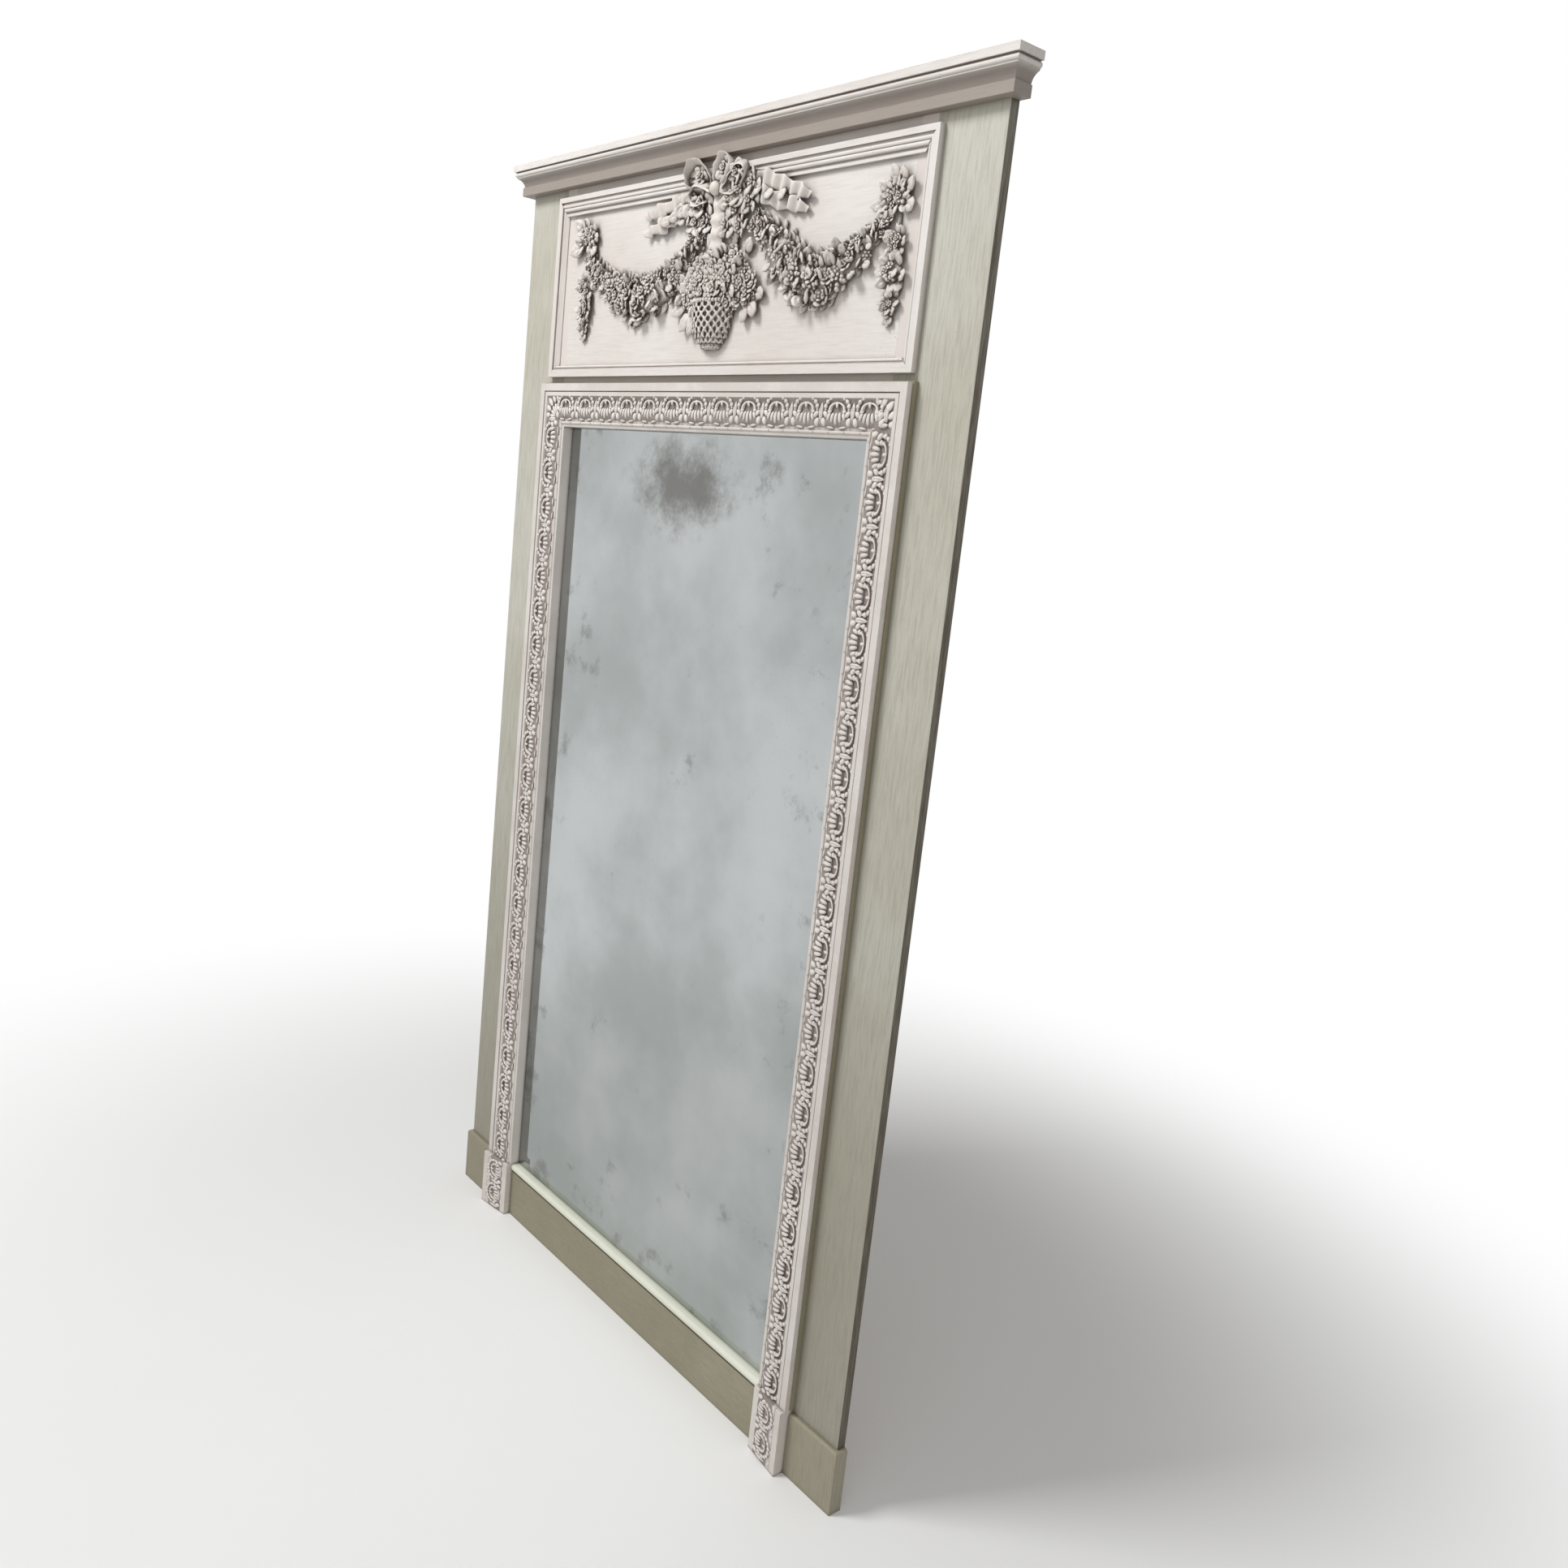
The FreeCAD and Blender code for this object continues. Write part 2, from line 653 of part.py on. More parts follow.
def dome(name, across, up, radius, high, corners=8):
    """Make a faceted swelling that rises from the panel, as a flower or a berry does."""
    upright = Rotation(Vector(1, 0, 0), 90)
    layers = []
    for index, (share, swell) in enumerate(((-0.1, 0.94), (0.45, 1), (0.8, 0.66), (1, 0.28))):
        layers.append(polygon(
            "%s_layer_%d" % (name, index), corners, "(%s) * %.2f" % (radius, swell), across,
            "face_d + (%s) * %.2f" % (high, share), up, upright))
    return ruled(name, layers)


def spindle(name, across, up, lean, long, wide):
    """Make a long bud or leaf that lies on the panel and points at a lean from upright."""
    angle = math.radians(lean)
    layers = []
    for index, (share, swell) in enumerate(((0, 0.45), (0.3, 1), (0.65, 0.8), (1, 0.12))):
        layers.append(polygon(
            "%s_layer_%d" % (name, index), 8, "(%s) * %.2f" % (wide, swell),
            "%s + (%s) * %.5f" % (across, long, share * math.sin(angle)), "face_d",
            "%s + (%s) * %.5f" % (up, long, share * math.cos(angle)),
            Rotation(Vector(0, 1, 0), lean)))
    return ruled(name, layers)


def carving_ground():
    """Make the space behind the carvings: the panel's field and its top moulding."""
    field = primitive("Part::Box", "field_ground", Length="2 * border_half",
                      Width="60", Height="300")
    place(field, "-border_half", "face_d", "border_low")
    crest = primitive("Part::Box", "crest_ground", Length="2 * border_half",
                      Width="60", Height="60")
    place(crest, "-border_half", "border_d", "border_top - head_wide")
    return joined("carving_ground", [field, crest])


def swag_line(start, end, share):
    """Give the x number, the z rule, the lean and the swell of a swag at a share of it."""
    across = start[0] + (end[0] - start[0]) * share
    up = "%.3f - 4 * swag_sag * %.5f" % (
        start[1] + (end[1] - start[1]) * share, share * (1 - share))
    slope = (end[1] - start[1]) - 4 * value("swag_sag") * (1 - 2 * share)
    lean = math.degrees(math.atan2(end[0] - start[0], slope))
    return across, up, lean, math.sin(math.pi * share) ** 0.8


def swag_core(name, start, end):
    """Loft the swelling bunch of a swag along its sagging line."""
    rounds = []
    steps = 8
    for index in range(steps + 1):
        across, up, lean, swell = swag_line(start, end, index / steps)
        radius = "swag_end + (swag_rad - swag_end) * %.4f" % swell
        rounds.append(polygon(
            "%s_round_%d" % (name, index), 10, radius, "%.3f" % across,
            "face_d - swag_sink * (%s)" % radius, up, Rotation(Vector(0, 1, 0), lean)))
    return ruled(name, rounds)


def swag_blooms(name, start, end):
    """Set flowers along a swag and leaves that point down from its lower side."""
    pieces = []
    for index in range(1, 8):
        across, up, lean, swell = swag_line(start, end, index / 8)
        side = 0.34 if index % 2 else -0.30
        pieces.append(dome(
            "%s_bloom_%d" % (name, index), "%.3f" % across,
            "%s + swag_rad * %.4f" % (up, side * swell),
            "swag_rad * %.4f" % (0.30 + 0.34 * swell), "swag_rad * %.4f" % (0.45 + 0.45 * swell),
            7))
        if 1 < index < 7:
            pieces.append(spindle(
                "%s_leaf_%d" % (name, index), "%.3f" % across, up, 180 + (index - 4) * 14,
                "swag_leaf + %d" % (14 if index == 4 else 0), "9"))
    return pieces


def basket(ground):
    """Make the half-round basket and the heap of flowers in it."""
    layers = []
    shares = ((0, 0), (0.14, 0.42), (0.34, 0.68), (0.60, 0.86), (0.90, 0.93), (0.91, 1), (1, 1))
    for index, (share, swell) in enumerate(shares):
        layers.append(polygon(
            "basket_layer_%d" % index, 16,
            "basket_foot + (basket_rad - basket_foot) * %.2f" % swell, "basket_x",
            "face_d - basket_sunk",
            "basket_low + (basket_rim - basket_low) * %.2f" % share, Rotation()))
    trimmed("flower_basket", ruled("basket_turned", layers), ground)
    blooms = [dome("basket_mound", "basket_x", "basket_rim + 16", "mound_rad", "mound_out", 12)]
    for index in range(6):
        angle = math.radians(-78 + 34 * index)
        blooms.append(dome(
            "basket_bloom_%d" % index, "basket_x + mound_rad * %.4f" % (0.95 * math.sin(angle)),
            "basket_rim + 12 + mound_rad * %.4f" % (0.75 * math.cos(angle)),
            "bloom_rad * %.2f" % (1.15 if index % 2 else 0.95), "bloom_rad * 1.25", 7))
    blooms.append(dome("basket_rose", "basket_x + 6", "basket_rim + 20", "bloom_rad * 1.1",
                       "mound_out + 4", 7))
    blooms.append(spindle("basket_leaf_right", "basket_x + 60", "basket_rim + 12", 115, "34", "11"))
    blooms.append(spindle("basket_leaf_low", "basket_x + 52", "basket_rim + 14", 145, "34", "10"))
    blooms.append(spindle("basket_leaf_left", "basket_x - 44", "basket_rim + 20", 200, "56", "13"))
    trimmed_heap = trimmed("flower_heap", joined("flower_mass", blooms), ground)
    trimmed("basket_flowers", trimmed_heap, doc.getObject("flower_basket"))


def ribbon(name, path, front, ground):
    """Make a flat ribbon piece from an outline on the panel."""
    flat = body(name + "_flat")
    sketch = outline(flat, name + "_outline", "XZ_Plane", path)
    bind(sketch, "AttachmentOffset.Base.z", "face_d")
    pad(flat, sketch, "%s - face_d" % front)
    return trimmed(name, flat, ground)


def bow(ground):
    """Make the knot with its two open loops."""
    loops = []
    for side, sign, reach in (("left", "-", "80"), ("right", "+", "62")):
        def at(step):
            return "bow_x %s (%s)" % (sign, step)
        hand = 1 if sign == "-" else -1
        loop = body("bow_loop_" + side)
        ring_path = [(at("0"), "bow_z + 6"), (at(reach + " * 0.45"), "bow_z + 33", "70", hand),
                     (at(reach), "bow_z + 20", "34", hand),
                     (at(reach + " * 0.9"), "bow_z - 6", "24", hand),
                     (at("0"), "bow_z - 8", "120", hand)]
        sketch = outline(loop, "bow_outer_" + side, "XZ_Plane", ring_path)
        bind(sketch, "AttachmentOffset.Base.z", "border_d")
        pad(loop, sketch, "bow_d - border_d")
        eye_path = [(at(reach + " * 0.22"), "bow_z + 19", "40", -hand),
                    (at(reach + " * 0.75"), "bow_z + 21", "30", -hand)]
        cut_through(loop, outline(loop, "bow_eye_" + side, "XZ_Plane", eye_path))
        loops.append(loop)
    knot = dome("bow_centre", "bow_x", "bow_z", "knot_rad", "bow_d - face_d", 10)
    bud = dome("bow_bud", "bow_x + 36", "bow_z - 54", "bud_rad", "bud_rad * 0.9", 7)
    rosette = dome("bow_rosette", "bow_x - 24", "bow_z - 30", "bud_rad * 0.8", "bud_rad * 0.7", 7)
    pieces = loops + [knot, hanging_band(), bud, rosette]
    return trimmed("bow_knot", joined("bow_mass", pieces), ground)


def hanging_band():
    """Make the band that the basket hangs by, from the bow down to the flowers."""
    layers = []
    for index, (drop_by, swell) in enumerate(((0, 0.9), (30, 1.1), (70, 1), (104, 0.9))):
        layers.append(polygon(
            "band_layer_%d" % index, 8, "band_rad * %.2f" % swell, "bow_x + 4", "face_d",
            "bow_z - %d" % drop_by, Rotation(Vector(0, 0, 1), 22.5)))
    return ruled("hanging_band", layers)


def spray(name, across, up, ground):
    """Make a corner spray: a ring of pointed leaves cut from one board, with a bloom."""
    leaves = body(name + "_leaves")
    path = []
    count = 7
    for index in range(count):
        lean = math.radians(-150 + 360 / count * index)
        notch = lean + math.pi / count
        reach = "spray_long" if index % 2 else "spray_tall"
        path.append(("%s + %s * %.4f" % (across, reach, math.sin(lean)),
                     "%s + %s * %.4f" % (up, reach, math.cos(lean)), "spray_curve", -1))
        path.append(("%s + spray_notch * %.4f" % (across, math.sin(notch)),
                     "%s + spray_notch * %.4f" % (up, math.cos(notch)),
                     "spray_curve", -1))
    sketch = outline(leaves, name + "_star", "XZ_Plane", path)
    bind(sketch, "AttachmentOffset.Base.z", "face_d")
    pad(leaves, sketch, "spray_d")
    boss = dome(name + "_boss", across, up, "boss_rad", "boss_out", 7)
    return trimmed(name + "_cut", joined(name + "_mass", [leaves, boss]), ground)


def drop(name, across, top, ground):
    """Make a hanging drop: a stem, three clusters of flowers and leaves, and a tip."""
    pieces = [spindle(name + "_stem", across, top, 180, "drop_long * 0.5", "6"),
              spindle(name + "_tip", across, "%s - drop_long * 0.7" % top, 180,
                      "drop_long * 0.33", "9")]
    for index, (share, swell) in enumerate(((0.32, 0.86), (0.58, 1), (0.8, 0.62))):
        up = "%s - drop_long * %.2f" % (top, share)
        pieces.append(dome("%s_bloom_%d" % (name, index), across, up,
                           "drop_rad * %.2f" % (0.66 * swell), "drop_out * %.2f" % swell, 7))
        for side in (-1, 1):
            for turn in (62, 128):
                pieces.append(spindle(
                    "%s_leaf_%d_%d_%d" % (name, index, side + 1, turn), across, up,
                    side * turn, "drop_rad * %.2f" % (1.05 * swell), "7 * %.2f" % swell))
    return trimmed(name, joined(name + "_mass", pieces), ground)


def swags(ground):
    """Make the swags, corner sprays and drops, each cut back to its neighbours."""
    ends = {"left": ("-342", 1770, -322, 1730, -22, 1766),
            "right": ("370", 1757, 350, 1736, 88, 1754)}
    for side, (hub_x, hub_z, from_x, from_z, to_x, to_z) in ends.items():
        raw = spray("corner_spray_" + side, hub_x, str(hub_z), ground)
        hanging = drop("drop_" + side, "-340" if side == "left" else "382", "1728", ground)
        trimmed("corner_spray_" + side, raw, hanging)
        start, end = (from_x, from_z), (to_x, to_z)
        bunch = [swag_core("swag_core_" + side, start, end)]
        bunch += swag_blooms("swag_" + side, start, end)
        heap = joined("swag_mass_" + side, bunch)
        cleared = trimmed("swag_ground_" + side, heap, ground)
        for count, blocker in enumerate(("corner_spray_" + side, "drop_" + side,
                                         "bow_knot", "basket_flowers")):
            cleared = trimmed("swag_%s_less_%d" % (side, count), cleared,
                              doc.getObject(blocker))
        trimmed("swag_" + side, cleared, doc.getObject("flower_basket"))


def ornament():
    """Make all the carved pieces that are planted on the upper panel."""
    ground = carving_ground()
    basket(ground)
    raw_bow = bow(ground)
    left = ribbon("ribbon_left_raw", [
        ("-62", "1822"), ("-118", "1800", "90", -1), ("-170", "1792", "80", 1),
        ("-160", "1774"), ("-176", "1757"), ("-112", "1762", "90", -1),
        ("-62", "1796", "90", 1)], "ribbon_d", ground)
    right = ribbon("ribbon_right_raw", [
        ("76", "1828"), ("140", "1815", "120", 1), ("212", "1784", "120", 1),
        ("200", "1773"), ("210", "1760"), ("140", "1768", "120", 1),
        ("76", "1800", "120", 1)], "ribbon_d", ground)
    trimmed("ribbon_left", left, raw_bow)
    trimmed("ribbon_right", right, raw_bow)
    swags(ground)


NODES = [
    "stile_left", "stile_right", "plinth_block_left", "plinth_block_right", "base_rail",
    "rail_bead", "foot_block_left", "foot_block_right", "frame_upright_left",
    "frame_upright_right", "frame_top", "frame_slip_left", "frame_slip_right",
    "frame_slip_top", "mirror_glass", "glass_wedges", "backboard_outer_left",
    "backboard_inner_left", "backboard_inner_right", "backboard_outer_right",
    "panel_board", "panel_moulding_top", "panel_moulding_bottom", "panel_moulding_left",
    "panel_moulding_right", "cornice_front", "cornice_return_left",
    "cornice_return_right", "cornice_cap", "bow_knot", "ribbon_left", "ribbon_right",
    "flower_basket", "basket_flowers", "swag_left", "swag_right", "corner_spray_left",
    "corner_spray_right", "drop_left", "drop_right", "batten_foot", "batten_middle",
    "batten_shoulder", "batten_head", "hanger_strap_left", "hanger_strap_right",
    "hanger_ring_left", "hanger_ring_right", "batten_screws", "hanger_screws",
]


def check_document():
    """Stop if any object failed to build or any piece is not a sound solid."""
    for item in doc.Objects:
        if any(word in ("Invalid", "Error") for word in item.State):
            raise RuntimeError("object failed: " + item.Name)
    for name in NODES:
        shape = doc.getObject(name).Shape
        if shape.isNull() or not shape.isValid() or not shape.Solids:
            raise RuntimeError("unsound shape: " + name)
        if min(solid.Volume for solid in shape.Solids) <= 0:
            raise RuntimeError("empty or inverted solid: " + name)


def main():
    """Build every piece, check the document and write one file per piece."""
    fill_sheet()
    screw_set("batten_screws", batten_spots(), "screw_long")
    screw_set("hanger_screws", strap_spots(), "strap_screw_long")
    batten_holes = screw_set("batten_screw_holes", batten_spots(), "screw_long",
                             "screw_room")
    strap_holes = screw_set("hanger_screw_holes", strap_spots(), "strap_screw_long",
                            "screw_room")
    all_holes = doc.addObject("Part::Compound", "all_screw_holes")
    all_holes.Links = [batten_holes, strap_holes]
    side_boards(all_holes)
    plinth_blocks(batten_holes)
    base_rail()
    foot_blocks()
    carved_uprights()
    carved_head()
    backing_slips()
    mirror_plate()
    panel()
    cornice()
    battens(batten_holes)
    hanger("right", "", strap_holes)
    hanger("left", "-", strap_holes)
    ornament()
    doc.recompute()
    check_document()
    for name in NODES:
        piece = doc.getObject(name)
        piece.Label = name
        piece.Shape.exportStep("parts/%s.step" % name)


main()
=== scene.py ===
"""Looks of a tall painted trumeau mirror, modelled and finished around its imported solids.

The boards, plain mouldings, glass, battens and rings keep their solids and get painted, silvered,
bare or forged finishes. The carving is modelled here: the run of arches and leaves along the
frame, and the bow, basket, swags, sprays and drops on the upper panel.
"""

import logging
import math
import random
from collections.abc import Callable
from dataclasses import dataclass, field
from enum import Enum

import bmesh
import bpy
from mathutils import Matrix, Vector


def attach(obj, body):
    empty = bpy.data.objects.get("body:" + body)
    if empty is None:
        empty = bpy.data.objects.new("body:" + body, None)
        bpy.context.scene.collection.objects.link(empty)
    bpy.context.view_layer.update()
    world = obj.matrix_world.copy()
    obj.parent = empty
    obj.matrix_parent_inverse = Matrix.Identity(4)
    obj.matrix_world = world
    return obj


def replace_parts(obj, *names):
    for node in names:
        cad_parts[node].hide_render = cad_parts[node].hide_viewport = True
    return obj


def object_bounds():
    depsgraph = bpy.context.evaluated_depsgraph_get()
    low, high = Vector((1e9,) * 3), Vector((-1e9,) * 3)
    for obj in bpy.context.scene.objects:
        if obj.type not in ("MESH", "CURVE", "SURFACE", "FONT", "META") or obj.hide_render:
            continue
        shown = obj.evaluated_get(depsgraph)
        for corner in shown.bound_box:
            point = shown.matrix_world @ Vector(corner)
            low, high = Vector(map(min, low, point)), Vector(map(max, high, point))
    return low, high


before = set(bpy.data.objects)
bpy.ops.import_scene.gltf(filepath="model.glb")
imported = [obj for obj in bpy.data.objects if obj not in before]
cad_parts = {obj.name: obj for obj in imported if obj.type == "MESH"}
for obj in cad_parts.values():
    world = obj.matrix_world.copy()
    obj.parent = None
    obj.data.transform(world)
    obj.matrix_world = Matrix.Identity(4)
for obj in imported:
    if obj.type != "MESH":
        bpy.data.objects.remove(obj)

LOADED_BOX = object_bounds()
WALL = LOADED_BOX[1].y
MM = 0.001
PANEL_OUT = 34.0  # how far out from the wall the panel's face lies, in mm
GOLDEN_TURN = 2.39996  # the turn from one bloom to the next, in radians
DEEPEST = 62.6  # how far out the carving may stand, in mm
FRAME_HALF = 0.445  # half the width of the carved frame, in metres
FRAME_TOP = 1.536  # its height, in metres
FIELD_HALF = 0.427  # half the width inside the panel's mouldings, in metres
FIELD_FOOT = 1.5475  # the lowest edge of the panel, in metres
LOG = logging.getLogger("mirror")

Colour = tuple[float, float, float]
Point = tuple[float, float, float]
Station = tuple[float, float, float, float, float]
Piece = bpy.types.Object
Material = bpy.types.Material
Socket = bpy.types.NodeSocket
Chooser = Callable[[Vector], bool]


def at(across: float, out: float, up: float) -> Vector:
    """Returns the place across, out from the wall and up, all in mm, in metres."""
    return Vector((across * MM, WALL - out * MM, up * MM))


class Run(Enum):
    """Which member of the carved frame a row of carving lies on."""

    LEFT = "left"
    RIGHT = "right"
    HEAD = "head"


class Grain(Enum):
    """Which way brush strokes or wood fibres run."""

    ACROSS = (1.0, 14.0, 14.0)
    UP = (14.0, 14.0, 1.0)


# ---------------------------------------------------------------- modelling bench


class Bench:
    """Blender's modelling operators, used as a modeller uses them by hand."""

    @staticmethod
    def clear() -> None:
        """Leaves edit mode and deselects everything."""
        if bpy.context.mode != "OBJECT":
            bpy.ops.object.mode_set(mode="OBJECT")
        bpy.ops.object.select_all(action="DESELECT")

    @staticmethod
    def only(piece: Piece) -> None:
        """Makes one piece the selected and active one.

        Args:
            piece: The object to select.
        """
        Bench.clear()
        piece.select_set(True)
        bpy.context.view_layer.objects.active = piece

    @staticmethod
    def settle(piece: Piece) -> Piece:
        """Puts a piece's place, turn and size into its mesh.

        Args:
            piece: The object to settle.

        Returns:
            The same object, now at the origin.
        """
        Bench.only(piece)
        bpy.ops.object.transform_apply(location=True, rotation=True, scale=True)
        return piece

    @staticmethod
    def ball(place: Point, size: Point, turn: Point = (0.0, 0.0, 0.0), around: int = 10,
             rings: int = 6) -> Piece:
        """Adds an egg-shaped lump.

        Args:
            place: Its middle.
            size: Its three half sizes.
            turn: Its turn about X, Y and Z, in radians.
            around: Faces round it.
            rings: Rings of faces from pole to pole.

        Returns:
            The new object.
        """
        Bench.clear()
        bpy.ops.mesh.primitive_uv_sphere_add(
            segments=around, ring_count=rings, radius=1.0, location=place, rotation=turn, scale=size
        )
        return Bench.settle(bpy.context.active_object)

    @staticmethod
    def half_ring(place: Point, across: float, deep: float, thick: float, steps: int = 28,
                  sides: int = 8) -> Piece:
        """Adds half a ring that stands like an arch, open towards -Y, cut and closed at both feet.

        Args:
            place: The middle of the ring.
            across: Half width of the arch to the middle of its roll.
            deep: Height of the arch to the middle of its roll.
            thick: Radius of the roll.
            steps: Faces round the whole ring.
            sides: Faces round the roll.

        Returns:
            The new object.
        """
        Bench.clear()
        bpy.ops.mesh.primitive_torus_add(
            major_segments=steps, minor_segments=sides, major_radius=across, minor_radius=thick
        )
        ring = bpy.context.active_object
        bpy.ops.object.mode_set(mode="EDIT")
        bpy.ops.mesh.select_all(action="SELECT")
        bpy.ops.transform.resize(value=(1.0, deep / across, 1.0), center_override=(0, 0, 0))
        bpy.ops.mesh.bisect(
            plane_co=(0, -0.12 * deep, 0), plane_no=(0, 1, 0), use_fill=True, clear_inner=True
        )
        bpy.ops.object.mode_set(mode="OBJECT")
        ring.location = place
        return Bench.settle(ring)

    @staticmethod
    def shape(piece: Piece, chosen: Chooser, move: Point = (0, 0, 0),
              size: Point = (1, 1, 1), centre: Point = (0, 0, 0)) -> None:
        """Moves and sizes the chosen points of a piece in edit mode.

        Args:
            piece: The object to shape.
            chosen: Says of a point whether it is taken.
            move: How far the points go.
            size: How the points spread from the centre.
            centre: The centre that they spread from.
        """
        Bench.only(piece)
        for point in piece.data.vertices:
            point.select = bool(chosen(point.co))
        for edge in piece.data.edges:
            edge.select = all(piece.data.vertices[i].select for i in edge.vertices)
        for face in piece.data.polygons:
            face.select = all(piece.data.vertices[i].select for i in face.vertices)
        bpy.ops.object.mode_set(mode="EDIT")
        bpy.ops.transform.resize(value=size, center_override=centre)
        bpy.ops.transform.translate(value=move)
        bpy.ops.object.mode_set(mode="OBJECT")

    @staticmethod
    def copy(model: Piece, matrix: Matrix) -> Piece:
        """Copies a model, with a mesh of its own, to another place.

        Args:
            model: The object to copy.
            matrix: Where it goes, in the model's own frame.

        Returns:
            The copy.
        """
        twin = bpy.data.objects.new(model.name, model.data.copy())
        twin.data.transform(matrix)
        if matrix.determinant() < 0:
            twin.data.flip_normals()
        bpy.context.scene.collection.objects.link(twin)
        return twin

    @staticmethod
    def join(parts: list[Piece], name: str, angle: float = 50.0) -> Piece:
        """Joins parts into one piece and smooths its faces.

        Args:
            parts: The objects to join.
            name: The name of the joined piece.
            angle: The largest angle, in degrees, that is shaded smooth.

        Returns:
            The joined piece.
        """
        Bench.clear()
        for part in parts:
            part.select_set(True)
        bpy.context.view_layer.objects.active = parts[0]
        if len(parts) > 1:
            bpy.ops.object.join()
        piece = bpy.context.active_object
        piece.name = name
        piece.data.name = name
        bpy.ops.object.shade_smooth_by_angle(angle=math.radians(angle))
        return piece

    @staticmethod
    def press(piece: Piece, ground: float, most: float) -> None:
        """Lowers relief that stands out too far, as if it were carved from a thinner board.

        Args:
            piece: The piece to lower.
            ground: How far out the surface under it lies, in mm.
            most: How far out it may stand, in mm.
        """
        peak = max((WALL - point.co.y) / MM for point in piece.data.vertices)
        if peak > most:
            share = (most - ground) / (peak - ground)
            Bench.shape(piece, lambda p: (WALL - p.y) / MM > ground, size=(1, share, 1),
                        centre=at(0, ground, 0))

    @staticmethod
    def drop(*models: Piece) -> None:
        """Takes models away that have done their work."""
        for model in models:
            bpy.data.objects.remove(model, do_unlink=True)

    @staticmethod
    def sweep(stations: list[list[Vector]], smooth: int = 0) -> Piece:
        """Extrudes a flat face through a row of stations.

        Args:
            stations: The corners of the face at each station, all with the same count.
            smooth: Levels of subdivision that round the result.

        Returns:
            The new closed piece.
        """
        Bench.clear()
        bpy.ops.mesh.primitive_circle_add(
            vertices=len(stations[0]), radius=1.0, fill_type="NGON", location=(0, 0, 0)
        )
        piece = bpy.context.active_object
        bpy.ops.object.mode_set(mode="EDIT")
        bpy.ops.mesh.select_mode(type="FACE")
        work = bmesh.from_edit_mesh(piece.data)
        for number, corners in enumerate(stations):
            if number:
                bpy.ops.mesh.select_all(action="DESELECT")
                work = bmesh.from_edit_mesh(piece.data)
                work.faces.ensure_lookup_table()
                work.faces[end_index].select = True
                bpy.ops.mesh.extrude_region_move()
                work = bmesh.from_edit_mesh(piece.data)
            end = [face for face in work.faces if face.select][0]
            for loop, corner in zip(end.loops, corners):
                loop.vert.co = corner
            work.faces.index_update()
            end_index = end.index
            bmesh.update_edit_mesh(piece.data)
        bpy.ops.mesh.select_all(action="SELECT")
        bpy.ops.mesh.normals_make_consistent(inside=False)
        bpy.ops.object.mode_set(mode="OBJECT")
        if smooth:
            rounding = piece.modifiers.new("rounding", "SUBSURF")
            rounding.levels = smooth
            rounding.render_levels = smooth
            bpy.ops.object.modifier_apply(modifier=rounding.name)
        return piece


def dress(piece: Piece, finish: Material) -> None:
    """Gives a piece one finish all over."""
    piece.data.materials.clear()
    piece.data.materials.append(finish)


def finished(parts: list[Piece], name: str, finish: Material, angle: float = 50.0) -> Piece:
    """Joins parts into one dressed piece.

    Args:
        parts: The objects to join.
        name: The name of the piece.
        finish: Its finish.
        angle: The largest angle, in degrees, that is shaded smooth.
    """
    piece = Bench.join(parts, name, angle)
    dress(piece, finish)
    return piece


# ---------------------------------------------------------------- finishes


